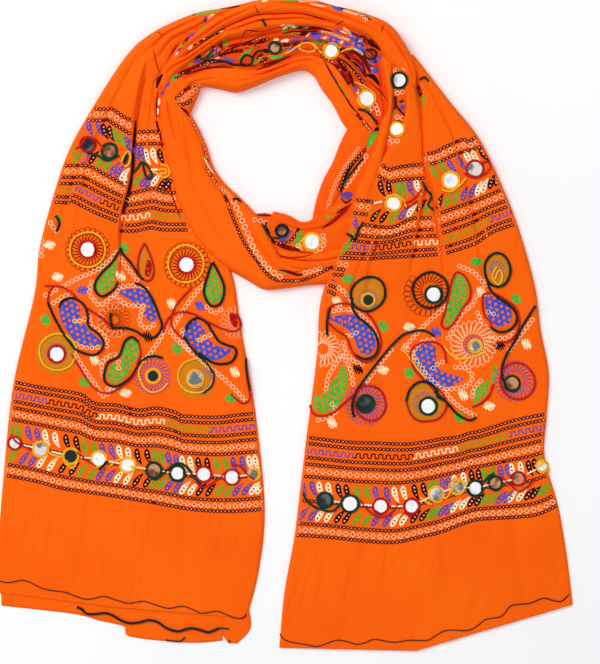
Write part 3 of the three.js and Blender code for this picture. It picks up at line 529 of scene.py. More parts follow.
# The three bunched layers in front of the neck, which the broad stretch covers at their left ends and
# the right end covers at their right ends: the narrow upper one, the one with mirrors, and the lower.
# Lines: top, foot.
CROSS_UPPER = [
    ((-11, 111, 2, 8), (-16, 101, 6, 9)),
    ((4, 107, 2, 11), (-1, 98, 8, 12)),
    ((15, 101, 2, 12), (10, 94, 8, 13)),
    ((25, 102, 2, 13), (22, 91, 7, 14)),
    ((33, 110, 2, 13), (38, 89, 6, 13)),
    ((50, 121, 4, 12), (53, 91, 5, 12)),
    ((64, 129, 5, 10), (73, 97, 5, 10)),
]

CROSS_UPPER_CREASES = [
    ((0.9, 0.34), (0.5, 1.4), 8, 4),
    ((0.3, 0.4), (0.1, 0.7), 3, -2),
]
# Lines: top, foot.
CROSS_MIRROR = [
    ((-34, 108, 2, 6), (-28, 94, 4, 7)),
    ((-17, 109, 2, 9), (-17, 76, 5, 9)),
    ((-2, 104, 4, 11), (-6, 68, 5, 11)),
    ((12, 98, 5, 12), (13, 66, 5, 12)),
    ((27, 97, 5, 12), (28, 65, 5, 12)),
    ((43, 100, 5, 12), (43, 66, 5, 11)),
    ((66, 110, 5, 10), (64, 72, 5, 10)),
]
# Lines: top, crease, foot.
CROSS_LOWER = [
    ((-7, 74, 6, 13), (-6, 66, 8, 13), (-3, 58, 5, 12)),
    ((10, 71, 6, 14), (11, 63, 8, 14), (11, 53, 4, 12)),
    ((25, 70, 6, 14), (25, 62, 8, 13.5), (25, 52, 3, 11.5)),
    ((40, 71, 6, 13), (41, 63, 8, 13), (42, 54, 3, 11)),
    ((60, 76, 6, 11), (60, 67, 7, 11), (60, 58, 3, 10)),
]
cross_upper = lay_cloth("front_upper_layer", CROSS_UPPER, (36,), 110, 12, CROSS_UPPER_CREASES, 0.8, 31)
fit_cloth(cross_upper, "cross_upper", lower_layer_shaded_cotton, (0.028, 0.085), "gathered")
cross_mirror = lay_cloth("front_mirror_layer", CROSS_MIRROR, (34,), 110, 14, (), 0.7, 33)
fit_cloth(cross_mirror, "cross_mirror", lower_layer_shaded_cotton, (0.036, 0.105), "gathered")
cross_lower = lay_cloth("front_lower_layer", CROSS_LOWER, (16, 16), 80, 6, (), 0.8, 35)
fit_cloth(cross_lower, "cross_lower", outer_cotton, (0.03, 0.07), "gathered")

# The stretch that climbs from the front of the neck under the right end, folded once along it.
# Lines: inner, crease, outer.
RIGHT_INNER = [
    ((28, 104, 1.8, 9), (40, 99, 8, 10), (72, 87, 5, 8)),
    ((32, 123, 1.8, 10), (48, 117, 8.5, 11), (78, 110, 5, 8)),
    ((39, 143, 1.8, 11), (58, 135, 9, 12), (84, 130, 5, 8)),
    ((48, 160, 1.8, 11), (68, 150, 9, 12), (90, 148, 5, 8)),
    ((56, 180, 1.8, 11), (77, 165, 8.5, 12), (97, 165, 5, 8)),
    ((64, 196, 1.8, 9), (86, 186, 7, 10), (101, 184, 5, 8)),
    ((68, 205, 1.8, 8), (92, 198, 7, 9), (104, 196, 5, 8)),
]
right_inner = lay_cloth("right_neck_layer", RIGHT_INNER, (26, 20), 130, 8, (), 0.8, 41)
fit_cloth(right_inner, "right_inner", lower_layer_shaded_cotton, (0.045, 0.115), "draped")

# The rolled edge of the right end beside the neck, and the pocket of embroidered cloth that opens
# between it and the rest of the right end.
# Lines: left, right.
RIGHT_ROLL = [
    ((93, 264, 8, 16), (107, 266, 8, 16)),
    ((96, 257, 7, 18), (108, 257, 8, 18)),
    ((99, 243, 6, 19), (107, 243, 8, 19)),
    ((102, 226, 6, 18), (108, 226, 8, 18)),
    ((102, 212, 6, 18), (107, 210, 8, 18)),
    ((96, 201, 5, 19), (105, 196, 8, 19)),
    ((93, 188, 4, 19), (102, 185, 9, 19)),
    ((86, 170, 4, 18), (97, 163, 10, 18)),
    ((79, 153, 4, 17), (91, 143, 10, 18)),
    ((70, 132, 4, 16), (84, 123, 10, 17)),
    ((65, 104, 3, 14), (77, 97, 10, 15)),
    ((60, 82, 2, 12), (68, 74, 8, 12.5)),
]
# Lines: left, right.
RIGHT_POCKET = [
    ((101, 268, 8, 16), (116, 266, 8, 17)),
    ((104, 251, 8, 14.4), (121, 249, 8, 14.4)),
    ((104, 241, 8, 13.8), (121, 239, 8, 13.8)),
    ((104, 228, 8, 14), (123, 224, 8, 14)),
    ((102, 205, 8, 14), (122, 205, 8, 14)),
    ((98, 186, 8, 13), (119, 185, 8, 13)),
    ((95, 171, 8, 11), (108, 170, 8, 11)),
    ((88, 157, 8, 10), (102, 153, 8, 10)),
]
right_roll = lay_cloth("right_end_rolled_edge", RIGHT_ROLL, (30,), 190, 14, (), 0.9, 51)
fit_cloth(right_roll, "right_roll", outer_cotton, (0.024, 0.2), "gathered")
right_pocket = lay_cloth("right_end_pocket", RIGHT_POCKET, (24,), 100, 9, (), 0.8, 53)
fit_cloth(right_pocket, "right_pocket", lower_layer_shaded_cotton, (0.028, 0.11), "gathered")

# The rolls behind the neck, from the outside in: the shoulder, the high outer roll, the second roll,
# the crumpled embroidered cloth that shows between them, and the band and strand next to the neck.
# Lines: outer, inner.
BACK_SHOULDER = [
    ((-162, 259, 2, 11), (-130, 237, 6, 8)),
    ((-151, 275, 2, 15), (-124, 249, 8, 15)),
    ((-139, 285, 2, 16), (-117, 259, 9, 16)),
    ((-121, 296, 2, 17), (-109, 275, 9, 17)),
    ((-90, 309, 2, 18), (-90, 287, 9, 18)),
    ((-65, 314, 2, 16), (-71, 302, 9, 17)),
    ((-45, 318, 2, 14), (-47, 312, 9, 15)),
    ((-29, 322, 2, 11), (-28, 319, 8, 12)),
]
BACK_SHOULDER_CREASES = [
    ((0.34, 0.3), (0.12, 0.66), 4.4, 1.7),
    ((0.66, 0.7), (0.14, 0.82), 5, -1.6),
]
# Lines: outer, inner.
BACK_OUTER = [
    ((-118, 259, 10, 14), (-117, 254, 10, 14)),
    ((-103, 281, 9, 20), (-98, 268, 10, 20)),
    ((-82, 296, 9, 23), (-78, 282, 10, 23)),
    ((-66, 306, 9, 24), (-62, 293, 11, 24)),
    ((-47, 314, 7, 25), (-45, 301, 12, 25)),
    ((-27, 322, 2.5, 25), (-27, 307, 12, 25)),
    ((-5, 326, 2, 25), (-5, 308, 12, 25)),
    ((15, 326, 2, 25), (16, 308, 12, 25)),
    ((48, 317, 2, 25), (45, 301, 12, 25)),
    ((77, 310, 2, 25), (65, 293, 11, 25)),
    ((103, 299, 2, 25), (84, 284, 10, 24)),
    ((118, 281, 2, 24), (94, 272, 9, 24)),
    ((128, 262, 2, 21.5), (103, 261, 12, 21)),
    ((131, 247, 9, 22), (117, 249, 14, 20)),
    ((130, 231, 12, 15), (121, 233, 12, 15)),
]
BACK_OUTER_CREASES = [
    ((0.4, 0.62), (0.4, 0.74), 4.6, 1.5),
    ((0.66, 0.5), (0.04, 0.36), 4.4, -1.5),
    ((0.3, 0.24), (0.66, 0.96), 4.4, 1.6),
]
# Lines: outer, inner.
BACK_SECOND = [
    ((-132, 226, 7, 10), (-124, 223, 6, 10)),
    ((-126, 246, 8, 13), (-114, 242, 7, 13)),
    ((-118, 260, 9, 16), (-108, 249, 8, 16)),
    ((-98, 268, 9, 18), (-94, 260, 8, 18)),
    ((-78, 282, 9, 20), (-74, 274, 8, 20)),
    ((-62, 293, 9, 21), (-58, 283, 8, 21)),
    ((-45, 301, 9, 22), (-42, 286, 8, 22)),
    ((-27, 307, 9, 22), (-25, 291, 8, 22)),
    ((-5, 308, 9, 22), (-4, 294, 8, 22)),
    ((16, 308, 9, 22), (20, 295, 8, 21)),
    ((42, 301, 9, 19), (42, 294, 8, 19)),
    ((62, 296, 9, 15), (61, 294, 8, 15)),
]
BACK_SECOND_CREASES = [
    ((0.4, 0.34), (0.44, 0.92), 6, 1.3),
    ((0.5, 0.62), (0.1, 0.46), 5, -1.3),
]
# Lines: outer, inner.
BACK_MIDDLE = [
    ((-129, 184, 6, 7), (-98, 208, 6, 8)),
    ((-131, 212, 6, 11), (-112, 217, 6, 10.5)),
    ((-129, 235, 6, 12), (-110, 228, 6, 11)),
    ((-122, 257, 6, 11), (-99, 240, 6, 11)),
    ((-102, 270, 6, 12), (-86, 244, 6, 12)),
    ((-80, 284, 6, 14), (-70, 249, 6, 14)),
    ((-60, 293, 6, 15), (-55, 250, 6, 15)),
    ((-44, 298, 6, 16), (-41, 249, 6, 16)),
    ((-26, 301, 6, 17), (-25, 247, 6, 16)),
    ((-4, 303, 6, 17), (-5, 253, 6, 16)),
    ((22, 303, 6, 17), (16, 261, 6, 16)),
    ((48, 303, 6, 17), (36, 260, 6, 16)),
    ((74, 296, 6, 17), (50, 246, 6, 15)),
    ((92, 282, 6, 16), (62, 231, 6, 14)),
    ((103, 262, 6, 15), (70, 219, 6, 13)),
    ((104, 244, 6, 14), (76, 210, 6, 12)),
    ((106, 220, 6, 12), (83, 200, 6, 11)),
    ((103, 196, 6, 9), (88, 190, 6, 9)),
]
BACK_MIDDLE_CREASES = [
    ((0.3, 0.24), (0.22, 0.62), 6, 1.9),
    ((0.44, 0.36), (0.34, 0.72), 5, -1.8),
    ((0.84, 0.8), (0.3, 0.62), 5, 1.8),
    ((0.62, 0.5), (0.2, 0.5), 3.5, 2.6),
    ((0.52, 0.62), (0.5, 0.94), 5, 2.6),
    ((0.74, 0.8), (0.56, 0.96), 4, 2.2),
    ((0.2, 0.3), (0.66, 0.98), 4, 2.2),
]
# Lines: outer, inner.
BACK_INNER = [
    ((-124, 214, 8, 11), (-98, 203, 3, 9)),
    ((-119, 234, 8, 15), (-93, 214, 2.5, 12)),
    ((-109, 244, 8, 16), (-87, 228, 2, 13)),
    ((-95, 246, 8, 17), (-82, 236, 2, 14)),
    ((-74, 254, 8, 18), (-65, 234, 2, 15)),
    ((-56, 256, 8, 18), (-49, 231, 2, 16)),
    ((-29, 253, 8, 18), (-32, 236, 2, 16)),
    ((-5, 259, 8, 18), (-8, 246, 2, 16)),
    ((16, 267, 8, 18), (17, 253, 2, 16)),
    ((37, 266, 8, 17), (29, 247, 2, 15)),
    ((49, 248, 8, 16), (37, 234, 2, 14)),
    ((61, 227, 8, 15), (48, 219, 2, 13)),
    ((73, 210, 8, 13), (57, 202, 2, 12)),
    ((85, 189, 7, 10), (64, 192, 2, 9)),
]
BACK_INNER_CREASES = [
    ((0.34, 0.4), (0.42, 0.72), 3.6, 1.9),
    ((0.6, 0.5), (0.06, 0.3), 2.6, 2.6),
    ((0.7, 0.24), (0.38, 0.6), 3, -2.2),
]
# Lines: outer, inner.
BACK_INNER_STRAND = [
    ((38, 269, 8, 14), (37, 262, 8, 14)),
    ((54, 253, 7, 17), (47, 247, 8, 17)),
    ((70, 230, 7, 17), (60, 225, 8, 17)),
    ((82, 213, 7, 15), (72, 208, 8, 15)),
    ((93, 197, 6, 11), (84, 188, 6, 11)),
]
back_shoulder = lay_cloth("back_shoulder_roll", BACK_SHOULDER, (36,), 150, 12, BACK_SHOULDER_CREASES, 0.9, 61)
fit_cloth(back_shoulder, "back_shoulder", outer_cotton, (0.03, 0.158), "gathered")
back_outer = lay_cloth("back_outer_roll", BACK_OUTER, (40,), 260, 11, BACK_OUTER_CREASES, 1.1, 63)
fit_cloth(back_outer, "back_outer", outer_cotton, (0.034, 0.29), "gathered")
back_second = lay_cloth("back_second_roll", BACK_SECOND, (36,), 200, 8, BACK_SECOND_CREASES, 0.9, 65)
fit_cloth(back_second, "back_second", outer_cotton, (0.028, 0.2), "gathered")
back_middle = lay_cloth("back_crumpled_layer", BACK_MIDDLE, (60,), 260, 8, BACK_MIDDLE_CREASES, 1.2, 67)
fit_cloth(back_middle, "back_middle", deep_layer_shaded_cotton, (0.05, 0.36), "gathered")
back_inner = lay_cloth("back_inner_band", BACK_INNER, (44,), 260, 10, BACK_INNER_CREASES, 0.9, 69)
fit_cloth(back_inner, "back_inner", outer_cotton, (0.032, 0.27), "draped")
back_inner_strand = lay_cloth("back_inner_loop", BACK_INNER_STRAND, (22,), 90, 6, (), 0.6, 71)
fit_cloth(back_inner_strand, "back_inner_strand", outer_cotton, (0.02, 0.1), "gathered")

# The mirrors: small round pieces of silvered glass, cut by hand, so the backing shows through as small
# grey clouds. Each lies on the cloth inside the ring of thread that holds it.
CLOUD_BLUR = 0.12


def silvered_glass(name, cloud, clear, metallic, cloud_scale, cloud_edge):
    """Silvered glass, bright where it faces the light, with cloudy places where the silver has gone. Given
    dark tones, its colour is a painted dark reflection.
    """
    material, tree, shader = new_material(name)
    place = tree.nodes.new("ShaderNodeTexCoord").outputs["Object"]
    clouds = add_noise(tree, place, cloud_scale)
    tone = add_ramp(tree, clouds, (cloud_edge, cloud), (cloud_edge + CLOUD_BLUR, clear))
    tree.links.new(tone, shader.inputs["Base Color"])
    add_bump(tree, shader, add_noise(tree, place, 60, 1), 0.25, 0.5 * MM)
    set_sockets(shader, {"Metallic": metallic, "Roughness": 0.08})
    return material


bright_glass = silvered_glass("bright_glass", shade(222, 228, 230), shade(255, 255, 255), 0.25, 90, 0.3)
cloudy_glass = silvered_glass("cloudy_glass", shade(120, 124, 122), shade(240, 232, 224), 0.5, 75, 0.42)
worn_glass = silvered_glass("worn_glass", shade(120, 70, 34), shade(214, 150, 110), 0.45, 75, 0.46)
# The dark glass: its dark base colour is a painted reflection of dark surroundings, not the silver's own
# colour.
dark_reflection_glass = silvered_glass("dark_reflection_glass", shade(34, 46, 48), shade(96, 108, 110), 0.6, 60, 0.5)
AGED_AND_DARK_REFLECTING_MIRRORS = (
    (cloudy_glass, ("left_band_2", "left_band_10", "right_band_5", "right_band_6", "right_field_6",
                    "left_field_5", "shoulder_bands_5", "neck_5")),
    (worn_glass, ("left_band_6", "right_field_5", "right_band_8", "right_band_9", "shoulder_bands_2",
                  "neck_1", "neck_6")),
    (dark_reflection_glass, ("left_band_3", "left_field_4", "right_band_1", "right_field_2", "right_field_3",
                  "shoulder_bands_1")),
)
aged_and_reflecting_glass = {"mirror_" + place: glass for glass, places in AGED_AND_DARK_REFLECTING_MIRRORS for place in places}
mirrors = {name: node for name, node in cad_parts.items() if name.startswith("mirror_")}
for name, node in mirrors.items():
    node.data.materials.clear()
    node.data.materials.append(aged_and_reflecting_glass.get(name, bright_glass))

# The block print on the two ends: pigment stamped on the cloth in maroon, cream, purple, green, black
# and blue. Every shape is a thin film that lies on the cloth wherever its own panel is on top.
# The print's places are (across, down) in millimetres from PRINT_CORNER.
PRINT_CORNER = Vector((-285, 323))
PRINT_LIFT = 0.16
SECOND_COLOUR_LIFT = 0.26
HIGH_ABOVE = 0.2
FINE_STEPS = 12  # steps between two points of a table
ROUGH_STEPS = 60  # steps in a line that is only measured
DOWN = Vector((0, 0, -1))
ENDS = {"tail_left": "left", "tail_left_under": "left", "tail_right": "right", "right_roll": "right"}

corners, faces, panels = [], [], []
for node, piece in cloths.items():
    first = len(corners)
    corners += [v.co.copy() for v in piece.data.vertices]
    faces += [[first + i for i in polygon.vertices] for polygon in piece.data.polygons]
    panels += [(node, face.value) for face in piece.data.attributes["panel"].data]
cloth_tree = BVHTree.FromPolygons(corners, faces)
prints = {}


def on_scarf(across, down):
    """A place of the print, in metres."""
    return Vector((PRINT_CORNER.x + across, PRINT_CORNER.y - down, 0)) * MM


def stamp(bm, colour, where, lift=PRINT_LIFT):
    """Lays flat shapes, made in the print's millimetres, on the panels named, in one colour."""
    beyond = []
    for v in bm.verts:
        start = on_scarf(v.co.x, v.co.y) + Vector((0, 0, HIGH_ABOVE))
        spot, _, index, _ = cloth_tree.ray_cast(start, DOWN)
        if spot is None or not (panels[index] in where or panels[index][0] in where):
            beyond.append(v)
        else:
            v.co = spot + Vector((0, 0, lift * MM))
    bmesh.ops.delete(bm, geom=beyond, context="VERTS")
    bm.normal_update()
    bmesh.ops.reverse_faces(bm, faces=[face for face in bm.faces if face.normal.z < 0])
    first = where[0] if isinstance(where[0], str) else where[0][0]
    printed = prints.setdefault((ENDS.get(first, "neck"), colour), bmesh.new())
    holder = bpy.data.meshes.new("stamp")
    bm.to_mesh(holder)
    bm.free()
    printed.from_mesh(holder)
    bpy.data.meshes.remove(holder)


def even_points(points, count, closed=False):
    """Count steps of the same length along a smooth curve through the points."""
    points = [Vector(p) for p in points]
    if closed:
        points = points[-1:] + points + points[:2]
    else:
        points = points[:1] + points + points[-1:]
    dense = [
        between(*points[i : i + 4], k / FINE_STEPS) for i in range(len(points) - 3) for k in range(FINE_STEPS)
    ] + [points[-2]]
    reached = [0]
    for a, b in zip(dense, dense[1:]):
        reached.append(reached[-1] + (b.xy - a.xy).length)
    line, at = [], 0
    for i in range(count + 1):
        wanted = reached[-1] * i / count
        while at < len(dense) - 2 and reached[at + 1] < wanted:
            at += 1
        share = (wanted - reached[at]) / max(reached[at + 1] - reached[at], 1e-9)
        line.append(dense[at].lerp(dense[at + 1], share))
    return line


def steps_of(points, pitch, least, closed=False):
    """A line in the whole number of even steps, at least so many, that comes nearest to a pitch."""
    rough = even_points(points, ROUGH_STEPS, closed)
    return even_points(points, max(least, round(length_of(rough) / pitch)), closed)


def length_of(points):
    return sum((b.xy - a.xy).length for a, b in zip(points, points[1:]))


def walk(points, pitch):
    """Places one pitch apart along a line, each with the direction of the line there."""
    line = steps_of(points, pitch, 1)
    ahead = line[1:] + [line[-1] * 2 - line[-2]]
    return [(p, math.atan2(q.y - p.y, q.x - p.x)) for p, q in zip(line, ahead)]


def add_disc(bm, place, radius, sides=10, turn=0, long=1):
    """A filled round spot, or one drawn out by long in the direction turn."""
    matrix = Matrix.Translation((place.x, place.y, 0)) @ Matrix.Rotation(turn, 4, "Z")
    matrix = matrix @ Matrix.Diagonal((long, 1, 1, 1))
    return bmesh.ops.create_circle(
        bm, cap_ends=True, segments=sides, radius=radius, matrix=matrix
    )["verts"]


def add_ring(bm, place, radius, breadth, sides, turn=0, long=1):
    face = add_disc(bm, place, radius, sides, turn, long)[0].link_faces[0]
    bmesh.ops.inset_individual(bm, faces=[face], thickness=breadth)
    bmesh.ops.delete(bm, geom=[face], context="FACES_ONLY")


def add_ribbon(bm, spine, steps, across=1):
    """A strip along a smooth line through (across, down, half width) points."""
    line = even_points(spine, steps)
    for v in bmesh.ops.create_grid(bm, x_segments=across, y_segments=steps, size=0.5)["verts"]:
        i = round((v.co.y + 0.5) * steps)
        a, b = line[max(0, i - 1)], line[min(steps, i + 1)]
        side = Vector((a.y - b.y, b.x - a.x)).normalized()
        v.co = (line[i].xy + side * (2 * v.co.x * line[i].z)).to_3d()


def add_bar(bm, start, end, half):
    add_ribbon(bm, [(start.x, start.y, half), (end.x, end.y, half)], 1)


# The borders. Across each run dotted lines of linked rings, lines of diamonds, a stepped line that
# changes colour, and a broad band of leaves in pairs, in which the mirrors are sewn.
RING_PITCH, RING_RADIUS, DOT_RADIUS = 3.8, 2.05, 0.68
DIAMOND_PITCH, DIAMOND_RADIUS, DIAMOND_LINE, DIAMOND_CENTRE = 6.8, 2.9, 0.72, 0.55
STEP_PITCH, STEP_RISE, STEP_HALF = 7.6, 2.1, 0.62
BORDER_POINTS = 100
# Where the lines of a border run: as shares of the way from its line outer to near, and far to inner.
OUTER_DIAMONDS = 0.47
INNER_DIAMONDS, INNER_DOTTED, STEPPED = 0.16, (0.32, 0.49, 0.85), 0.66
# Where those of a low border run: as shares of the way from its line outer to inner.
NEAR_LINE, LEAVES_BELOW, STEM, LEAVES_ABOVE, FAR_LINE = 0.119, 0.222, 0.355, 0.485, 0.604


def print_dotted(line, where):
    rings, dots = bmesh.new(), bmesh.new()
    for place, _ in walk(line, RING_PITCH):
        add_disc(rings, place, RING_RADIUS)
        add_disc(dots, place, DOT_RADIUS, 6)
    stamp(rings, "maroon", where)
    stamp(dots, "pale", where, SECOND_COLOUR_LIFT)


def print_diamonds(line, where):
    diamonds, centres = bmesh.new(), bmesh.new()
    for i, (place, turn) in enumerate(walk(line, DIAMOND_PITCH)):
        add_ring(diamonds, place, DIAMOND_RADIUS, DIAMOND_LINE, 4, turn)
        if i % 3:
            add_disc(centres, place, DIAMOND_CENTRE, 5)
    stamp(diamonds, "cream", where)
    stamp(centres, "maroon", where)


def print_steps(line, where, colours):
    """The stepped line. Each colour is given with the place across where it ends."""
    shapes = {colour: bmesh.new() for colour, _ in colours}
    for place, turn in walk(line, STEP_PITCH):
        colour = next((c for c, end in colours if place.x < end), colours[-1][0])
        along = Vector((math.cos(turn), math.sin(turn)))
        rise = Vector((along.y, -along.x)) * STEP_RISE
        quarter = along * (STEP_PITCH / 4)
        middle = place.xy
        bm = shapes[colour]
        add_bar(bm, middle - quarter * 2 - rise, middle - rise, STEP_HALF)
        add_bar(bm, middle - rise, middle + rise, STEP_HALF)
        add_bar(bm, middle + rise, middle + quarter * 2 + rise, STEP_HALF)
        add_bar(bm, middle + quarter * 2 + rise, middle + quarter * 2 - rise, STEP_HALF)
    for colour, bm in shapes.items():
        stamp(bm, colour, where)


def part_way(first, second, share):
    return [a.lerp(b, share) for a, b in zip(first, second)]


def print_border(where, outer, near, far, inner, step_colours):
    """All the lines of a border, between the dotted lines outer, near, far and inner."""
    outer, near, far, inner = (even_points(line, BORDER_POINTS) for line in (outer, near, far, inner))
    for line in (outer, near, far, inner):
        print_dotted(line, where)
    for share in INNER_DOTTED:
        print_dotted(part_way(far, inner, share), where)
    print_diamonds(part_way(outer, near, OUTER_DIAMONDS), where)
    print_diamonds(part_way(far, inner, INNER_DIAMONDS), where)
    print_steps(part_way(far, inner, STEPPED), where, step_colours)


# A leaf is a comma: its spine as (across, down, half width) from the leaf's middle, and its dots.
LEAF_ABOVE = [(-1.9, -8, 0.7), (-2.1, -5.2, 2.6), (-1.3, -0.6, 2.8), (0.4, 3.8, 1.8), (3, 8.2, 0.3)]
LEAF_BELOW = [(-5, 6.4, 0.8), (-3.8, 4, 2.5), (-1.4, 0.2, 2.7), (1.5, -3.4, 1.7), (5, -6.6, 0.3)]
DOTS_ABOVE = [(-1.9, -4.3, 1), (-1.3, -0.7, 0.9), (0.1, 2.9, 0.7)]
DOTS_BELOW = [(-3.4, 3.3, 1), (-1.3, 0.2, 0.9), (0.9, -2.6, 0.7)]
DOTS_ON = {"green": "olive", "purple": "dye", "cream": "maroon", "black": "pale"}
LEAF_ORDER = list(DOTS_ON)  # the colours of a low border's leaves, two of each in turn


def print_leaves(places, where, above, size=1, lean=0):
    """Leaves of the band: each place is (colour, across, down)."""
    leaves, dots = {}, {}
    spine, spots = (LEAF_ABOVE, DOTS_ABOVE) if above else (LEAF_BELOW, DOTS_BELOW)
    turn = Matrix.Rotation(lean, 2) * size
    for colour, across, down in places:
        middle = Vector((across, down))
        bm = leaves.setdefault(colour, bmesh.new())
        points = [(middle + turn @ Vector((x, y))) for x, y, _ in spine]
        add_ribbon(bm, [(p.x, p.y, s[2] * size) for p, s in zip(points, spine)], 9, 2)
        bm = dots.setdefault(DOTS_ON[colour], bmesh.new())
        for x, y, radius in spots:
            add_disc(bm, middle + turn @ Vector((x, y)), radius * size, 7)
    for colour, bm in leaves.items():
        stamp(bm, colour, where)
    for colour, bm in dots.items():
        stamp(bm, colour, where, SECOND_COLOUR_LIFT)


def down_at(line, across):
    """How far down a line is at a place across."""
    a, b = min(zip(line, line[1:]), key=lambda pair: abs((pair[0].x + pair[1].x) / 2 - across))
    return a.y + (b.y - a.y) * (across - a.x) / (b.x - a.x)


def print_low_border(where, outer, inner, leaves, first_colour, step_colours, shift=0, shift_rate=0):
    """A border across a whole end. Its leaves are given as places across, and those below the stem
    are moved by shift and by shift_rate of their place."""
    outer, inner = even_points(outer, BORDER_POINTS), even_points(inner, BORDER_POINTS)
    near, far = part_way(outer, inner, NEAR_LINE), part_way(outer, inner, FAR_LINE)
    print_border(where, outer, near, far, inner, step_colours)
    print_dotted(part_way(outer, inner, STEM), where)
    first = LEAF_ORDER.index(first_colour)
    leaves = [(LEAF_ORDER[(first + i // 2) % len(LEAF_ORDER)], x) for i, x in enumerate(leaves)]
    above, below = part_way(outer, inner, LEAVES_ABOVE), part_way(outer, inner, LEAVES_BELOW)
    print_leaves([(c, x, down_at(above, x)) for c, x in leaves], where, True)
    shifted = [(c, x + shift + shift_rate * x) for c, x in leaves]
    print_leaves([(c, x, down_at(below, x)) for c, x in shifted], where, False)


print_low_border(
    ("tail_left",),
    [(5.4, 475), (36, 481), (62, 488), (89, 492), (116, 496), (139, 500), (157, 503),
     (184, 508), (201, 510), (219, 511), (237, 511), (263, 509)],
    [(14, 382), (45, 388), (80, 394), (89, 400), (98, 404), (116, 405), (139, 410),
     (157, 408), (175, 412), (182, 416), (188, 416), (201, 417), (219, 417), (237, 415),
     (257, 413)],
    [12.5, 19.6, 30, 39, 47, 57, 68, 78, 86, 96, 104, 113, 121, 130, 139, 149, 156, 163, 170, 178,
     184, 192, 200, 209, 218, 227, 235, 244, 251, 257],
    "green",
    [("purple", 43), ("black", 97), ("cream", 162), ("green", 208), ("purple", 300)],
    -6, 0.04,
)
print_low_border(
    ("tail_right",),
    [(298, 535), (328, 537), (367, 541), (395, 542), (419, 537), (440, 532),
     (464, 523), (480, 519), (515, 517), (538, 514), (559, 504)],
    [(305, 437), (348, 442), (376, 443), (405, 444), (424, 442), (440, 439),
     (457, 437), (469, 433), (480, 431), (515, 420), (546, 414)],
    [304, 314, 321, 330, 340, 348, 358, 368, 377, 388, 396, 405, 416, 425, 432, 437, 444, 450,
     456, 465, 473, 480, 486, 494, 502, 509, 513, 522, 530, 536, 543, 549],
    "purple",
    [("purple", 352), ("black", 410), ("cream", 457), ("green", 511), ("purple", 600)],
)

# The second border of each end, higher up, runs the other way up. The pleat hides its middle.
LEFT_OF_PLEAT = (("tail_left", 0),)
RIGHT_OF_PLEAT = (("tail_left", 2), ("tail_left", 1))
print_border(
    LEFT_OF_PLEAT,
    [(93, 109), (104, 110), (111, 109), (117, 112), (125, 118), (136, 122)],
    [(86, 121), (104, 121), (107, 120), (115, 125), (125, 131), (136, 138)],
    [(63, 166), (85, 166), (93, 168), (104, 174), (117, 181), (131, 188)],
    [(50, 202), (68, 203), (72, 201), (96, 213), (123, 224)],
    [("green", 75), ("purple", 102), ("black", 140)],
)
print_leaves(
    [("purple", 91, 129), ("purple", 101, 129), ("black", 106, 132), ("black", 112, 134),
     ("green", 117, 137), ("green", 124, 141), ("purple", 129, 145), ("purple", 134, 147)],
    LEFT_OF_PLEAT, True,
)
print_leaves(
    [("green", 72, 154), ("green", 79, 158), ("purple", 87, 158), ("black", 95, 158),
     ("green", 102, 162), ("green", 109, 166), ("purple", 116, 169), ("purple", 121, 172),
     ("cream", 126, 175), ("cream", 130, 179)],
    LEFT_OF_PLEAT, False,
)
print_border(
    RIGHT_OF_PLEAT,
    [(132, 133), (146, 132), (153, 132), (164, 134)],
    [(132, 145), (155, 144), (166, 146)],
    [(130, 194), (146, 190), (155, 189), (163, 192), (178, 193)],
    [(118, 231), (136, 231), (151, 228), (165, 230), (190, 230)],
    [("cream", 148), ("green", 220)],
)
print_leaves(
    [("purple", 138, 154), ("purple", 143, 154), ("cream", 148, 157), ("cream", 155, 156),
     ("black", 162, 157)],
    RIGHT_OF_PLEAT, True,
)
print_leaves(
    [("green", 139, 180), ("purple", 146, 181), ("purple", 151, 181), ("cream", 157, 180),
     ("black", 164, 184), ("black", 170, 184)],
    RIGHT_OF_PLEAT, False,
)
LEFT_OF_FOLD = (("tail_right", 0),)
RIGHT_OF_FOLD = (("tail_right", 2), ("tail_right", 1))
print_border(
    LEFT_OF_FOLD,
    [(380, 164), (388, 170), (397, 168), (410, 166), (428, 164)],
    [(376, 175), (388, 182), (404, 180), (430, 178)],
    [(360, 224), (378, 227), (394, 227), (411, 219), (427, 218), (441, 218)],
    [(337, 258), (366, 259), (382, 258), (416, 256), (447, 254)],
    [("purple", 375), ("black", 407), ("cream", 460)],
)
print_leaves(
    [("black", 382, 189), ("black", 390, 190), ("green", 399, 190), ("green", 404, 190),
     ("purple", 411, 189), ("cream", 418, 187)],
    LEFT_OF_FOLD, True,
)
print_leaves(
    [("black", 376, 216), ("black", 385, 217), ("green", 395, 217), ("purple", 404, 214),
     ("cream", 412, 211), ("black", 422, 206), ("green", 429, 208), ("green", 437, 209)],
    LEFT_OF_FOLD, False,
)
print_border(
    RIGHT_OF_FOLD,
    [(422, 155), (434, 153), (446, 147), (462, 140), (468, 142), (480, 134)],
    [(425, 166), (440, 162), (455, 155), (471, 150), (486, 146)],
    [(436, 215), (455, 208), (480, 199), (505, 188)],
    [(444, 254), (474, 244), (493, 232), (519, 223)],
    [("green", 485), ("purple", 540)],
)
print_leaves(
    [("green", 434, 172), ("green", 443, 168), ("purple", 452, 167), ("purple", 462, 164),
     ("cream", 469, 159), ("cream", 476, 158), ("black", 484, 155)],
    RIGHT_OF_FOLD, True, 1, -0.3,
)
print_leaves(
    [("black", 440, 202), ("green", 448, 200), ("green", 457, 197), ("purple", 465, 194),
     ("purple", 473, 191), ("cream", 479, 189), ("cream", 485, 186), ("black", 492, 182),
     ("black", 498, 179)],
    RIGHT_OF_FOLD, False, 1, -0.3,
)

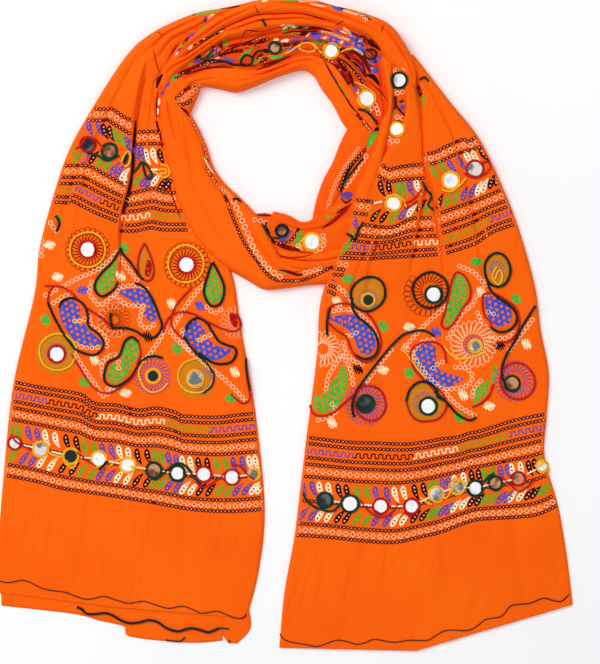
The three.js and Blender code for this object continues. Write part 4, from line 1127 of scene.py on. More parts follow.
# The fields above the low borders: beans and drops full of spots, chains of small rings, netted
# flowers and fuzzy discs round the mirrors, and small brushed sprigs. Shapes with a spine are
# lists of (across, down, half width).
SPOT_PITCH, SPOT_RADIUS, SPOT_MARGIN = 6.2, 1.6, 0.7
SPOT_ROWS, ROW_PITCH, ROW_TURN = 6, 0.8, 0.35
BEAN_STEPS, BEAN_COLUMNS = 22, 8
CHAIN_PITCH, CHAIN_RADIUS, CHAIN_LINE = 4.9, 2.35, 0.6
LOOP_LINE, LOOP_LEAN = 0.46, 0.1
NET_LEAN, NET_OVERLAP = 0.35, 1.3
SLIVER_TIP = 0.35  # a sliver's width at its ends, as a share of its width between them
FRINGE_STROKES, FRINGE_HALF = 64, 0.28
FRINGE_FOOT, FRINGE_REACH, FRINGE_UNEVEN = 0.96, 1.1, 0.1
NOTCH_LIFT, CHAIN_LIFT = 0.3, 0.34
SLIVER_LIFT, FLOWER_LIFT, DISC_LIFT = PRINT_LIFT + 0.02, PRINT_LIFT + 0.05, PRINT_LIFT - 0.04
SPRIG_STROKES = [(-4.4, 2.4), (-2.2, 4.4), (0, 5.2), (2.2, 4.4), (4.4, 2.4)]
SPRIG_TURN, SPRIG_LEAN, SPRIG_JOIN = 0.5, 1.1, 1.2
SPRIG_HALF, GRASS_HALF = 0.98, 1.35


def print_bean(spine, colour, where):
    """A filled bean or drop with rows of orange spots inside it."""
    shape, spots = bmesh.new(), bmesh.new()
    add_ribbon(shape, spine, BEAN_STEPS, BEAN_COLUMNS)
    line = even_points(spine, 40)
    middle = line[len(line) // 2].xy
    for row in range(-SPOT_ROWS, SPOT_ROWS + 1):
        for column in range(-SPOT_ROWS, SPOT_ROWS + 1):
            offset = Vector((column + (row % 2) / 2, row * ROW_PITCH)) * SPOT_PITCH
            place = middle + Matrix.Rotation(ROW_TURN, 2) @ offset
            if any((place - p.xy).length < p.z - SPOT_RADIUS * SPOT_MARGIN for p in line):
                add_disc(spots, place, SPOT_RADIUS, 8)
    stamp(shape, colour, where)
    stamp(spots, "dye", where, SECOND_COLOUR_LIFT)


def print_chain(points, where, size=1, colour="cream"):
    rings = bmesh.new()
    for place, _ in walk(points, CHAIN_PITCH * size):
        add_ring(rings, place, CHAIN_RADIUS * size, CHAIN_LINE, 9)
    stamp(rings, colour, where, CHAIN_LIFT)


def print_slivers(slivers, where):
    """Strips that taper at both ends, as (half width, places) for each colour: strips of the pattern, and
    dark strips of painted shade.
    """
    for colour, strips in slivers.items():
        bm = bmesh.new()
        for half, *places in strips:
            if len(places) == 2:
                (x_start, y_start), (x_end, y_end) = places
                places.insert(1, ((x_start + x_end) / 2, (y_start + y_end) / 2))
            halves = [half * SLIVER_TIP] + [half] * (len(places) - 2) + [half * SLIVER_TIP]
            spine = [(*place, half_there) for place, half_there in zip(places, halves)]
            steps = max(5, round(length_of([Vector(p) for p in places])))
            add_ribbon(bm, spine, steps, 2 + max(1, round(half)))
        stamp(bm, colour, where, SLIVER_LIFT)


def print_petals(middle, colour, where, span, petals, line, sides, lean, overlap=1, start=0, share=1):
    """A flower's ring of long thin loops round a mirror, or a share of it."""
    inner, outer = span
    loops = bmesh.new()
    half_long = (outer - inner) / 2
    half_wide = math.pi * (inner + outer) / 2 / petals * overlap
    for i in range(round(petals * share)):
        turn = start + 2 * math.pi * i / petals
        place = Vector(middle) + Vector((math.cos(turn), math.sin(turn))) * (inner + half_long)
        add_ring(loops, place, half_wide, line, sides, turn + lean, half_long / half_wide)
    stamp(loops, colour, where, FLOWER_LIFT)


def print_loops(middle, colour, where, inner, outer, petals):
    """Loops that lie side by side."""
    print_petals(middle, colour, where, (inner, outer), petals, LOOP_LINE, 10, LOOP_LEAN)


def print_net(middle, colour, where, inner, outer, petals, line=0.5, start=0, share=1):
    """Loops that cross each other as a net."""
    shape = (line, 12, NET_LEAN, NET_OVERLAP, start, share)
    print_petals(middle, colour, where, (inner, outer), petals, *shape)


def print_disc(middle, where, across, down, turn=0):
    """An olive disc, brushed so that its edge is a fringe of short strokes."""
    disc, fringe = bmesh.new(), bmesh.new()
    matrix = Matrix.Rotation(turn, 2)
    for v in bmesh.ops.create_grid(disc, x_segments=44, y_segments=5, size=0.5)["verts"]:
        angle = 2 * math.pi * (v.co.x + 0.5)
        share = 1.001 - (v.co.y + 0.5)
        spot = matrix @ Vector((math.cos(angle) * across, math.sin(angle) * down)) * share
        v.co = (Vector(middle) + spot).to_3d()
    for i in range(FRINGE_STROKES):
        angle = 2 * math.pi * i / FRINGE_STROKES
        edge = matrix @ Vector((math.cos(angle) * across, math.sin(angle) * down))
        tip = edge * (FRINGE_REACH + FRINGE_UNEVEN * noise.noise(Vector((i * 0.7, across, 0))))
        add_bar(fringe, Vector(middle) + edge * FRINGE_FOOT, Vector(middle) + tip, FRINGE_HALF)
    stamp(disc, "olive", where, DISC_LIFT)
    stamp(fringe, "green", where)


def print_sprigs(places, where):
    """Sprigs as (colour, across, down): five brushed strokes side by side, joined in the middle."""
    shapes = {}
    for i, (colour, across, down) in enumerate(places):
        bm = shapes.setdefault(colour, bmesh.new())
        matrix = Matrix.Rotation(SPRIG_TURN * (1 if i % 3 else -0.6), 2)
        middle = Vector((across, down))
        half = GRASS_HALF if colour == "grass" else SPRIG_HALF
        for x, reach in SPRIG_STROKES:
            stroke = [(x - SPRIG_LEAN, -reach, half / 2), (x, 0, half), (x + SPRIG_LEAN, reach, half / 2)]
            add_ribbon(bm, [(*(middle + matrix @ Vector(p[:2])), p[2]) for p in stroke], 4)
        ends = [middle + matrix @ Vector((x, 0)) for x, _ in (SPRIG_STROKES[0], SPRIG_STROKES[-1])]
        add_bar(bm, ends[0], ends[1], SPRIG_JOIN)
    for colour, bm in shapes.items():
        stamp(bm, colour, where)


LEFT = ("tail_left",)
for spine, colour in (
    ([(72, 300, 5), (70, 308, 10.5), (72, 320, 9.5), (82, 335, 8.5), (93, 341, 6), (102, 343, 1)], "blue"),
    ([(118, 292, 0.5), (131, 294, 5.5), (140, 297, 8), (147, 304, 7.5), (151, 313, 7.2),
      (152, 321, 3.5)], "blue"),
    ([(197, 321, 4), (194, 329, 10), (198, 341, 10), (208, 350, 8.5), (219, 353, 6.5), (231, 350, 1)],
     "blue"),
    ([(117, 260, 0.8), (110, 273, 6.5), (104, 284, 8.8), (100, 292, 4.5)], "grass"),
    ([(213, 268, 0.8), (214, 281, 6.5), (214, 294, 8.8), (214, 303, 4.5)], "grass"),
    ([(132, 339, 4), (131, 350, 8), (125, 362, 7.6), (116, 374, 9), (109, 378, 4)], "grass"),
):
    print_bean(spine, colour, LEFT)
print_bean([(145, 245, 0.5), (146, 257, 5), (146, 269, 7), (147, 279, 3.5)], "olive", LEFT)
seed = bmesh.new()
add_ribbon(seed, [(148, 260, 1.5), (149, 266, 3.2), (148, 273, 3.2), (148, 277, 1.5)], 9, 3)
add_ribbon(seed, [(231, 313, 1.5), (234, 319, 4.2), (235, 324, 2.8), (236, 327, 0.8)], 9, 3)
stamp(seed, "red", LEFT, SECOND_COLOUR_LIFT)
print_slivers({"olive": [(2.6, (149, 355), (157, 355), (163, 359))]}, LEFT)
notches = bmesh.new()
add_ribbon(notches, [(73, 321, 0.8), (79, 321, 2.4), (86, 320, 4), (90, 321, 6)], 10, 4)
add_ribbon(notches, [(119, 370, 0.8), (119, 365, 2.3), (118, 358, 3.5), (116, 352, 6)], 10, 4)
add_ribbon(notches, [(147, 305, 2.2), (143, 308, 2.8), (139, 311, 4)], 8, 4)
add_ribbon(notches, [(196, 341, 0.8), (201, 339, 2.2), (207, 336, 3.4), (212, 333, 5)], 10, 4)
stamp(notches, "dye", LEFT, NOTCH_LIFT)
for chain in (
    [(64, 286), (79, 278), (96, 271), (108, 262), (117, 253)],
    [(121, 259), (129, 270), (137, 280)],
    [(107, 346), (107, 340), (100, 331), (92, 326), (90, 318)],
    [(77, 344), (83, 347), (90, 348), (98, 347)],
    [(92, 282), (90, 292), (95, 301), (100, 305), (109, 300), (118, 291)],
    [(76, 355), (84, 368), (96, 385), (104, 396), (111, 390)],
    [(144, 360), (150, 354), (160, 339), (166, 328)],
    [(171, 332), (181, 314), (192, 298), (204, 284)],
    [(174, 336), (184, 346), (212, 369), (230, 384), (246, 401)],
    [(207, 307), (214, 313), (221, 310)],
    [(75, 321), (80, 321), (85, 319)],
    [(200, 340), (206, 337), (210, 335)],
    [(103, 375), (102, 363), (108, 357), (115, 354)],
    [(108, 389), (117, 389)],
    [(117, 297), (126, 304), (135, 306), (143, 306), (141, 315), (140, 323), (147, 328), (154, 325)],
    [(119, 288), (128, 286), (139, 286), (147, 289)],
    [(46, 295), (52, 293), (56, 290)],
    [(54, 303), (59, 300), (64, 296), (71, 295)],
    [(119, 362), (119, 368)],
    [(183, 330), (182, 340), (189, 350)],
):
    print_chain(chain, LEFT)
for middle, colour, inner, outer, petals, *shape in (
    ((88, 250), "maroon", 7.6, 16.6, 24), ((88, 250), "maroon", 15.4, 22.6, 24),
    ((187, 265), "maroon", 7.6, 17.2, 24), ((187, 265), "maroon", 16, 23.6, 25),
    ((153, 376), "purple", 9, 19, 24), ((115, 320), "maroon", 3, 17, 20, 0.3),
    ((115, 320), "pale", 11, 18, 18, 0.5, 0.9, 0.7), ((237, 322), "pale", 6, 17, 20, 0.42),
):
    print_net(middle, colour, LEFT, inner, outer, petals, *shape)
print_loops((203, 380), "purple", LEFT, 7, 12, 20)
print_loops((57, 353), "purple", LEFT, 7, 10.5, 22)
print_disc((57, 353), LEFT, 19.5, 19.5)
print_disc((196, 378), LEFT, 18.5, 18.5)
print_sprigs(
    [("cream", 58, 277), ("cream", 121, 276), ("cream", 95, 360), ("cream", 126, 393),
     ("cream", 172, 304), ("cream", 235, 372), ("blue", 83, 290), ("blue", 200, 306),
     ("grass", 46, 320), ("grass", 85, 382), ("grass", 124, 248), ("grass", 177, 349),
     ("grass", 231, 398), ("black", 148, 337)],
    LEFT,
)

RIGHT = ("tail_right",)
for spine, colour in (
    ([(328, 318, 0.6), (342, 320, 5.2), (354, 324, 8.5), (363, 334, 9.8), (366, 346, 9), (365, 354, 4)],
     "blue"),
    ([(486, 296, 1.5), (492, 304, 8), (500, 315, 11.8), (505, 325, 6)], "blue"),
    ([(432, 345, 5), (426, 354, 10.6), (426, 367, 9.2), (436, 378, 8.8), (449, 380, 6.5),
      (463, 379, 0.8)], "blue"),
    ([(457, 276, 3.5), (460, 287, 8), (457, 300, 7.6), (452, 313, 6), (447, 325, 1.8)], "grass"),
    ([(343, 365, 0.6), (342, 378, 6.2), (336, 392, 9), (325, 403, 10), (313, 400, 5)], "grass"),
    ([(488, 381, 1.5), (480, 392, 6), (474, 405, 1)], "grass"),
    ([(495, 364, 0.5), (494, 374, 2.5), (491, 383, 0.6)], "grass"),
):
    print_bean(spine, colour, RIGHT)
for chain in (
    [(339, 288), (346, 294), (352, 302)],
    [(329, 312), (340, 310), (351, 310), (362, 316), (371, 326), (376, 336)],
    [(343, 343), (346, 352), (352, 360), (362, 364)],
    [(341, 356), (334, 367), (328, 377), (326, 389)],
    [(343, 356), (350, 369), (353, 384)],
    [(391, 350), (378, 366), (365, 384)],
    [(403, 349), (419, 331), (431, 319), (446, 306)],
    [(347, 336), (352, 335), (356, 333)],
    [(444, 391), (451, 399), (460, 407), (474, 415)],
    [(532, 320), (521, 334), (509, 350)],
    [(459, 266), (466, 269), (474, 273), (485, 285)],
    [(476, 296), (472, 305), (462, 313), (455, 325), (448, 338)],
    [(490, 337), (497, 338), (505, 338), (513, 333)],
    [(433, 368), (438, 364), (442, 362)],
    [(477, 313), (481, 321)],
    [(437, 387), (447, 389), (458, 388), (469, 384), (472, 375), (465, 368), (455, 367)],
    [(411, 358), (415, 349), (422, 342), (432, 340)],
    [(405, 346), (411, 353), (419, 364), (427, 375), (438, 386)],
    [(480, 381), (474, 388), (472, 396)],
    [(488, 312), (493, 314)],
    [(332, 404), (336, 411), (328, 417), (318, 420)],
):
    print_chain(chain, RIGHT)
for middle, colour, inner, outer, petals in (
    ((368, 300), "purple", 5.5, 10, 14), ((496, 268), "purple", 3.5, 8, 11),
    ((424, 403), "purple", 7.5, 11.5, 17), ((473, 346), "purple", 6, 11, 16),
):
    print_loops(middle, colour, RIGHT, inner, outer, petals)
for middle, colour, inner, outer, petals, *shape in (
    ((430, 290), "maroon", 7.6, 18.4, 24), ((427, 293), "maroon", 16, 24, 24, 0.5, 1, 0.5),
    ((366, 404), "purple", 8.6, 22, 26), ((514, 381), "purple", 8.6, 21.4, 26),
    ((473, 344), "cream", 10, 24, 24), ((323, 349), "cream", 5, 18.5, 20),
):
    print_net(middle, colour, RIGHT, inner, outer, petals, *shape)
print_disc((368, 294), RIGHT, 18, 15, -0.9)
print_disc((497, 270), RIGHT, 11.5, 16.5)
print_disc((424, 402), RIGHT, 18, 18)
print_sprigs(
    [("grass", 348, 279), ("cream", 337, 302), ("grass", 383, 326), ("cream", 409, 327),
     ("blue", 436, 332), ("black", 358, 369), ("cream", 383, 370), ("grass", 409, 373),
     ("cream", 332, 423), ("grass", 476, 262), ("grass", 516, 299), ("cream", 481, 292),
     ("black", 499, 346), ("cream", 526, 344), ("cream", 463, 395), ("cream", 489, 406),
     ("grass", 459, 417)],
    RIGHT,
)

# The embroidery: loosely spun cotton yarn of two plies, laid along the print and round the mirrors
# and caught down with small stitches. Each thread is a list of places, (across, down).
YARN_HALF = 1.2
YARN_TWIST = 4.2  # one turn of the plies
YARN_STEP = 0.8
YARN_SINK = 0.75  # how high the yarn's middle lies over the cloth, as a share of its half
YARN_UNEVEN = 0.12
PLY_RADIUS, PLY_BULGE = 0.78, 0.55
YARN_THICKNESS = {"black": 1.2, "dark_green": 1.15, "yellow": 0.95, "red": 0.95, "white": 0.95}
YARNS = {
    "yellow": ((252, 172, 8), (255, 196, 40)),
    "red": ((176, 8, 10), (214, 18, 16)),
    "dark_green": ((6, 42, 24), (16, 66, 40)),
    "black": ((10, 20, 14), (26, 36, 28)),
    "white": ((255, 244, 230), (255, 252, 246)),
}

for node in mirrors.values():
    first = len(corners)
    corners += [v.co.copy() for v in node.data.vertices]
    faces += [[first + i for i in polygon.vertices] for polygon in node.data.polygons]
ground = BVHTree.FromPolygons(corners, faces)

# The yarn's section: two plies side by side, turned as the yarn runs.
ply_profile = bpy.data.curves.new("yarn_profile", "CURVE")
ply_profile.dimensions = "3D"
outline = ply_profile.splines.new("POLY")
PROFILE_SIDES = 10
outline.points.add(PROFILE_SIDES - 1)
for i, point in enumerate(outline.points):
    angle = 2 * math.pi * i / PROFILE_SIDES
    radius = PLY_RADIUS * (1 + PLY_BULGE * abs(math.cos(angle))) * MM
    point.co = (math.cos(angle) * radius, math.sin(angle) * radius, 0, 1)
outline.use_cyclic_u = True
profile = bpy.data.objects.new("yarn_profile", ply_profile)

yarn_curves = {}


def lay_yarn(colour, points, end, closed=False, thick=1.0):
    """A thread on top of whatever is under it: cloth, a mirror's rim, or nothing at a loose end."""
    thick *= YARN_THICKNESS[colour]
    line = steps_of(points, YARN_STEP, 4, closed)
    if closed:
        line = line[:-1]
    heights = []
    for p in line:
        spot = ground.ray_cast(on_scarf(p.x, p.y) + Vector((0, 0, HIGH_ABOVE)), DOWN)[0]
        heights.append(spot.z if spot else 0)
    count = len(line)
    curve = yarn_curves.setdefault((end, colour), bpy.data.curves.new("yarn", "CURVE"))
    spline = curve.splines.new("POLY")
    spline.points.add(count - 1)
    spline.use_cyclic_u = closed
    turns = max(1, round(count * YARN_STEP / YARN_TWIST))
    for i, p in enumerate(line):
        around = [(i + k) % count if closed else max(0, min(count - 1, i + k)) for k in (-2, -1, 0, 1, 2)]
        top = max(max(heights[k] for k in around[1:4]), sum(heights[k] for k in around) / 5)
        place = on_scarf(p.x, p.y)
        spline.points[i].co = (place.x, place.y, top + YARN_HALF * thick * YARN_SINK * MM, 1)
        spline.points[i].tilt = 2 * math.pi * turns * i / count
        uneven = YARN_UNEVEN * noise.noise(Vector((i * 0.21, p.x, p.y)))
        spline.points[i].radius = thick * (1 + uneven)


def ring_round(middle, radius, wobble, sides, seed, long=1, turn=0):
    """Points round a mirror or flower, a little uneven as a hand lays them."""
    points = []
    for i in range(sides):
        angle = 2 * math.pi * i / sides
        uneven = 1 + wobble * noise.noise(Vector((math.cos(angle), math.sin(angle), seed)) * 1.7)
        spot = Vector((math.cos(angle) * long, math.sin(angle))) * radius * uneven
        points.append(Vector(middle) + Matrix.Rotation(turn, 2) @ spot)
    return points


# Round each mirror go two turns of thread, the inner one over the mirror's rim.
RING_REACHES, RING_THICK = (0.2, 1.6), 0.76
MIRROR_THREADS = {
    "left_band": ("red", "yellow", "yellow", "yellow", "yellow", "dark_green", "dark_green", "red", "red",
                  "yellow"),
    "right_band": ("dark_green", "dark_green", "red", "red", "yellow", "yellow", "dark_green",
                   "dark_green", "red", "yellow"),
    "left_field": ("red", "red", "red", "yellow", "yellow"),
    "right_field": ("dark_green", "yellow", "dark_green", "dark_green", "dark_green", "yellow"),
    "shoulder_bands": ("red", "dark_green", "yellow", "yellow", "red"),
    "neck": ("dark_green", "yellow", "yellow", "dark_green", "yellow", "black", "yellow"),
}
NECK_MIDDLE = 200  # how far across the middle of the neck is
centres = {}
for place_name, colours in MIRROR_THREADS.items():
    for i, colour in enumerate(colours):
        low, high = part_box(f"mirror_{place_name}_{i + 1}")
        middle = (low.xy + high.xy) / 2 / MM
        middle = Vector((middle.x - PRINT_CORNER.x, PRINT_CORNER.y - middle.y))
        radius = (high.x - low.x) / 2 / MM
        centres.setdefault(place_name, []).append(middle)
        end = place_name.split("_")[0]
        if end == "shoulder":
            end = "left" if middle.x < NECK_MIDDLE else "right"
        for turn, reach in enumerate(RING_REACHES):
            ring = ring_round(middle, radius + reach, 0.07, 12, i + turn * 9.3)
            lay_yarn(colour, ring, end, True, RING_THICK)
for band, end in (("left_band", "left"), ("right_band", "right")):
    for a, b in zip(centres[band], centres[band][1:]):
        lay_yarn("white", [a.lerp(b, 0.35), a.lerp(b, 0.72)], end, False, 0.85)

# The threads that wander along the bands and over the fields.
for colour, *threads in (
    ("red",
     [(11, 434), (15, 440), (22, 445), (32, 450)], [(77, 452), (86, 459), (96, 466)],
     [(196, 482), (202, 487), (209, 485), (218, 479), (225, 473)],
     [(232, 464), (240, 466), (247, 474), (254, 479)],
     [(45, 286), (53, 286), (62, 287), (72, 293), (85, 306), (103, 319), (112, 328)],
     [(56, 286), (50, 291), (48, 302)],
     [(145, 243), (140, 253), (138, 265), (140, 275), (144, 280), (151, 280), (154, 271), (152, 260),
      (146, 245)],
     [(192, 288), (184, 296), (176, 306), (172, 316), (172, 326), (179, 335), (187, 342), (196, 350)],
     [(164, 332), (166, 323), (172, 315), (184, 312), (196, 315), (212, 324), (226, 330), (235, 331),
      (241, 327), (240, 320), (236, 313)],
     [(139, 343), (141, 354), (137, 364)],
     [(72, 354), (81, 369), (89, 382), (99, 391), (108, 393), (120, 388), (133, 377), (140, 364)],
     [(231, 394), (242, 403), (250, 399), (249, 390)],
     [(76, 149), (82, 146), (88, 138), (97, 141), (104, 150)]),
    ("yellow",
     [(47, 451), (54, 455), (62, 457)], [(64, 461), (72, 468), (78, 461)],
     [(110, 466), (116, 461), (122, 459)], [(131, 466), (138, 468), (146, 469)],
     [(144, 361), (139, 372), (143, 385), (151, 392), (161, 390), (168, 383)],
     [(161, 165), (167, 166), (170, 173), (165, 178), (158, 174), (153, 172), (160, 170), (166, 170),
      (166, 174), (161, 173)],
     [(122, 163), (125, 156), (129, 152), (131, 158), (129, 165), (125, 167)]),
    ("black",
     [(99, 469), (103, 466), (107, 461)],
     [(112, 328), (125, 328), (136, 331), (144, 336), (155, 337), (162, 327), (159, 315), (152, 298),
      (144, 287), (135, 283)],
     [(48, 302), (53, 314), (62, 331), (70, 342), (77, 350), (92, 355), (101, 351), (104, 343), (99, 334),
      (89, 326), (88, 315), (85, 306), (78, 300), (70, 298), (62, 302), (60, 308)],
     [(120, 248), (124, 255), (131, 263), (139, 275), (144, 280)],
     [(120, 251), (112, 263), (104, 271), (97, 280), (95, 288), (99, 295), (105, 296), (115, 289),
      (118, 282)],
     [(111, 313), (111, 319), (112, 327)],
     [(212, 263), (207, 278), (204, 290), (206, 299), (212, 306), (220, 304), (224, 294), (223, 282),
      (213, 262)],
     [(186, 330), (190, 322), (198, 318), (207, 323), (212, 331), (219, 341), (227, 345), (235, 348),
      (236, 355), (231, 362), (220, 364), (210, 361), (199, 353)],
     [(184, 336), (191, 347), (199, 356), (208, 364), (214, 374)],
     [(139, 342), (132, 337), (125, 342), (121, 353), (117, 358), (109, 362), (105, 371), (105, 381),
      (112, 386), (120, 385), (131, 377), (141, 362), (152, 356), (163, 358)],
     [(246, 358), (247, 374), (250, 391)], [(128, 155), (126, 159), (125, 164), (127, 160), (128, 156)],
     [(56, 216), (60, 223), (57, 232)]),
    ("dark_green",
     [(150, 477), (156, 479), (164, 473), (172, 466), (180, 463), (188, 468), (194, 477), (201, 484)],
     [(214, 374), (212, 385), (203, 393)],
     [(134, 173), (138, 168), (141, 163), (144, 163), (149, 168), (152, 175), (150, 179), (146, 176),
      (144, 169), (143, 164)],
     [(88, 153), (98, 156), (108, 161), (120, 156)]),
    ("white",
     [(150, 170), (158, 170)]),
):
    for points in threads:
        lay_yarn(colour, points, "left")
for middle, radius, long in (
    ((88, 250), 17.6, 1), ((186, 264), 18.6, 0.95), ((58, 352), 18.4, 1), ((196, 376), 17.4, 1),
):
    lay_yarn("yellow", ring_round(middle, radius, 0.05, 16, radius, long), "left", True)

for colour, *threads in (
    ("dark_green",
     [(303, 493), (308, 502), (318, 508), (332, 511), (341, 502), (347, 494)],
     [(480, 482), (484, 481), (489, 476), (494, 473)], [(437, 397), (446, 402), (452, 408)],
     [(422, 182), (426, 190), (431, 196), (428, 205), (433, 210)]),
    ("red",
     [(360, 500), (368, 510), (380, 517), (392, 512), (398, 503)], [(404, 512), (411, 516), (418, 508)],
     [(500, 476), (505, 480), (509, 483), (518, 491), (524, 489), (530, 484), (535, 478)],
     [(327, 316), (329, 308), (338, 304), (349, 304), (361, 309), (372, 319), (379, 333), (381, 345),
      (376, 356), (367, 362), (358, 359), (351, 349), (346, 337), (336, 330), (327, 321)],
     [(365, 384), (354, 394), (343, 404), (332, 413), (322, 416), (313, 413), (310, 405)],
     [(457, 272), (464, 276), (470, 288), (469, 299), (463, 307), (458, 316), (452, 325), (445, 329),
      (441, 323), (445, 310), (448, 297), (451, 283), (454, 275), (457, 272)],
     [(492, 330), (489, 321), (484, 315), (482, 302), (484, 294), (495, 294), (507, 301), (516, 309),
      (519, 321), (517, 331), (509, 341), (496, 342)],
     [(442, 399), (433, 389), (422, 378), (413, 367), (410, 353), (416, 345), (426, 342), (437, 343),
      (444, 351), (446, 363)],
     [(493, 384), (489, 395), (481, 403), (472, 407)],
     [(437, 387), (444, 396), (446, 407), (439, 418), (428, 421), (417, 420), (410, 413), (406, 401)],
     [(402, 204), (409, 202), (416, 197), (421, 190)], [(404, 208), (411, 206), (417, 201)],
     [(464, 174), (472, 178), (482, 176), (490, 168), (487, 162), (481, 164)]),
    ("yellow",
     [(420, 497), (428, 503), (432, 504)], [(440, 498), (447, 497), (452, 489), (460, 480)],
     [(538, 466), (545, 462), (549, 470)],
     [(496, 267), (492, 277), (498, 285), (502, 277), (499, 270), (494, 280)],
     [(444, 346), (450, 354), (457, 358), (469, 358), (485, 352)],
     [(385, 199), (393, 195), (402, 199), (406, 208)], [(402, 349), (409, 357), (417, 368), (426, 379)],
     [(441, 190), (450, 192), (459, 186), (466, 178)]),
    ("black",
     [(352, 298), (352, 307), (358, 317), (368, 325), (375, 334), (378, 345), (375, 355), (365, 359),
      (355, 355)],
     [(434, 336), (425, 331), (415, 331), (403, 335), (392, 345), (381, 358), (370, 372), (361, 384),
      (356, 392), (352, 405), (354, 417)],
     [(487, 282), (490, 290), (498, 298), (507, 304), (515, 312), (516, 322), (509, 330), (499, 332),
      (490, 327)],
     [(535, 306), (524, 323), (515, 340), (507, 353), (502, 366), (502, 377), (506, 386)],
     [(434, 391), (446, 402), (457, 414), (469, 420), (476, 417)],
     [(406, 401), (410, 389), (419, 382), (429, 383), (436, 389), (437, 397)],
     [(330, 309), (327, 321), (327, 335)], [(363, 223), (358, 231), (355, 240), (351, 237), (347, 234)]),
    ("white",
     [(374, 204), (382, 202)]),
):
    for points in threads:
        lay_yarn(colour, points, "right")
for colour, middle, radius, long, turn in (
    ("black", (368, 294), 16.2, 1.12, -0.9), ("black", (430, 290), 17.8, 0.98, 0.9),
    ("black", (497, 270), 12.6, 1.34, 1.5), ("red", (370, 403), 15.4, 1.15, 1.3),
    ("red", (517, 381), 17.4, 1.05, 1.2),
):
    lay_yarn(colour, ring_round(middle, radius, 0.05, 16, radius, long, turn), "right", True)

# The print and thread on the cloth wound round the neck, where the scarf's ends are bunched and only
# slivers of the pattern show between the rolls.
BACK = ("back_middle", "back_inner", "back_inner_strand", "back_outer", "back_second", "back_shoulder",
        "right_pocket")
FRONT = ("cross_mirror", "cross_upper", "cross_lower", "front_left")
CLIMB = ("right_inner", "right_roll")
BIG_RING_PITCH, BIG_RING_RADIUS, BIG_RING_LINE = 6.9, 2.8, 0.78


def print_big_rings(line, where):
    rings = bmesh.new()
    for place, turn in walk(line, BIG_RING_PITCH):
        add_ring(rings, place, BIG_RING_RADIUS, BIG_RING_LINE, 12, turn)
    stamp(rings, "cream", where)


print_dotted(
    [(190, 115), (195, 127), (200, 135), (205, 148), (207, 159), (208, 170), (214, 180), (224, 194),
     (230, 210), (237, 227), (245, 244), (257, 261), (268, 275), (276, 280), (288, 281),
     (303, 280), (314, 276), (322, 272), (331, 268)], ("front_left", "cross_lower"),
)
print_big_rings(
    [(234, 202), (237, 209), (242, 220), (249, 236), (253, 247),
     (260, 259), (268, 268), (274, 273), (280, 277)], ("front_left",),
)
print_chain([(221, 188), (227, 193), (232, 199)], ("front_left",), 0.7, "pale")
print_slivers({
    "maroon": [
        (1.4, (279, 270), (288, 272), (298, 275), (304, 274)), (1.6, (257, 215), (264, 215), (271, 216)),
        (2.2, (273, 242), (282, 246), (292, 249), (300, 250)),
    ],
    # Thin dark red lines of painted shade in the creases between the layers.
    "wine": [
        (0.6, (283, 257), (292, 258), (302, 257), (312, 255)), (0.7, (276, 252), (281, 256), (287, 257)),
        (0.6, (290, 249), (300, 252), (312, 254)),
    ],
    "cream": [(0.6, (204, 158), (207, 163), (210, 169), (214, 174))],
    "grass": [(1.5, (283, 273), (286, 273)), (1.2, (283, 225), (289, 228))],
    "purple": [
        (1.1, (259, 214), (266, 214)), (1.5, (275, 238), (283, 240), (291, 234)),
        (1.2, (292, 230), (290, 235)),
    ],
    "black": [(1.9, (262, 225), (266, 229), (270, 235))],
    "green": [(2.6, (293, 246), (298, 241), (300, 234), (303, 231))],
    "olive": [(1.2, (304, 248), (307, 236))],
}, FRONT)
print_dotted([(270, 239), (276, 243), (283, 243), (290, 241), (295, 236), (298, 230)], FRONT)
for chain in (
    [(255, 220), (260, 221), (266, 223)], [(316, 251), (322, 248), (324, 242), (323, 236)],
    [(305, 273), (312, 271), (320, 269)], [(298, 246), (300, 247)],
):
    print_chain(chain, FRONT)

# Where the stretch climbs on the right, its border runs along it, cut by a fold.
print_chain(
    [(358, 149), (355, 153), (346, 166), (339, 177), (334, 187), (329, 203), (326, 214)],
    CLIMB, 0.8, "pale",
)
print_slivers({"black": [(1.2, (362, 154), (354, 163), (347, 174), (343, 186), (341, 194))]}, CLIMB)
print_dotted([(364, 151), (356, 160), (346, 171), (342, 182), (339, 190)], CLIMB)
print_chain([(366, 157), (359, 166), (352, 178), (346, 186)], CLIMB)
print_dotted([(364, 124), (368, 128), (372, 133)], BACK)
# The dark red strip here, and the lower maroon strip beside it, are painted shade in the deep hollow between
# the climbing stretch and the layers in front.
print_slivers({
    "purple": [(4.2, (340, 196), (347, 196), (352, 193))],
    "maroon": [(1.2, (341, 199), (346, 203), (352, 199)), (1.2, (336, 214), (342, 210), (348, 206))],
    "olive": [(1.2, (331, 212), (338, 208), (344, 205))],
    "grass": [(2.2, (326, 218), (329, 216))],
    "wine": [(1.8, (322, 229), (331, 223), (338, 217), (345, 211), (351, 204))],
}, CLIMB + FRONT)
print_slivers({
    "grass": [(3.1, (367, 148), (370, 142), (373, 136), (377, 132))],
    "black": [(2.4, (375, 132), (378, 128))],
}, CLIMB + BACK)

# The rolled edge beside the front shows a strip of the right end's border.
STRIP = ("right_roll", ("tail_right", 0))
for row in (
    [(352, 200), (360, 201), (371, 202)], [(351, 213), (358, 214), (366, 215)],
    [(335, 258), (341, 258), (349, 258)], [(332, 269), (337, 269), (343, 270)],
    [(330, 274), (336, 275), (342, 275)], [(327, 285), (331, 286), (336, 288)],
    [(325, 291), (330, 292), (334, 294)],
):
    print_dotted(row, STRIP)
print_diamonds([(354, 206), (361, 207), (368, 208)], STRIP)
print_diamonds([(333, 263), (339, 264), (346, 265)], STRIP)
print_slivers({
    "purple": [(0.7, (328, 279), (332, 280), (337, 282))],
    "green": [(3.1, (341, 254), (345, 248), (351, 242))],
}, STRIP)
print_leaves([("purple", 356, 224)], STRIP, True)
print_leaves([("green", 351, 231)], STRIP, True, 0.8, -0.4)
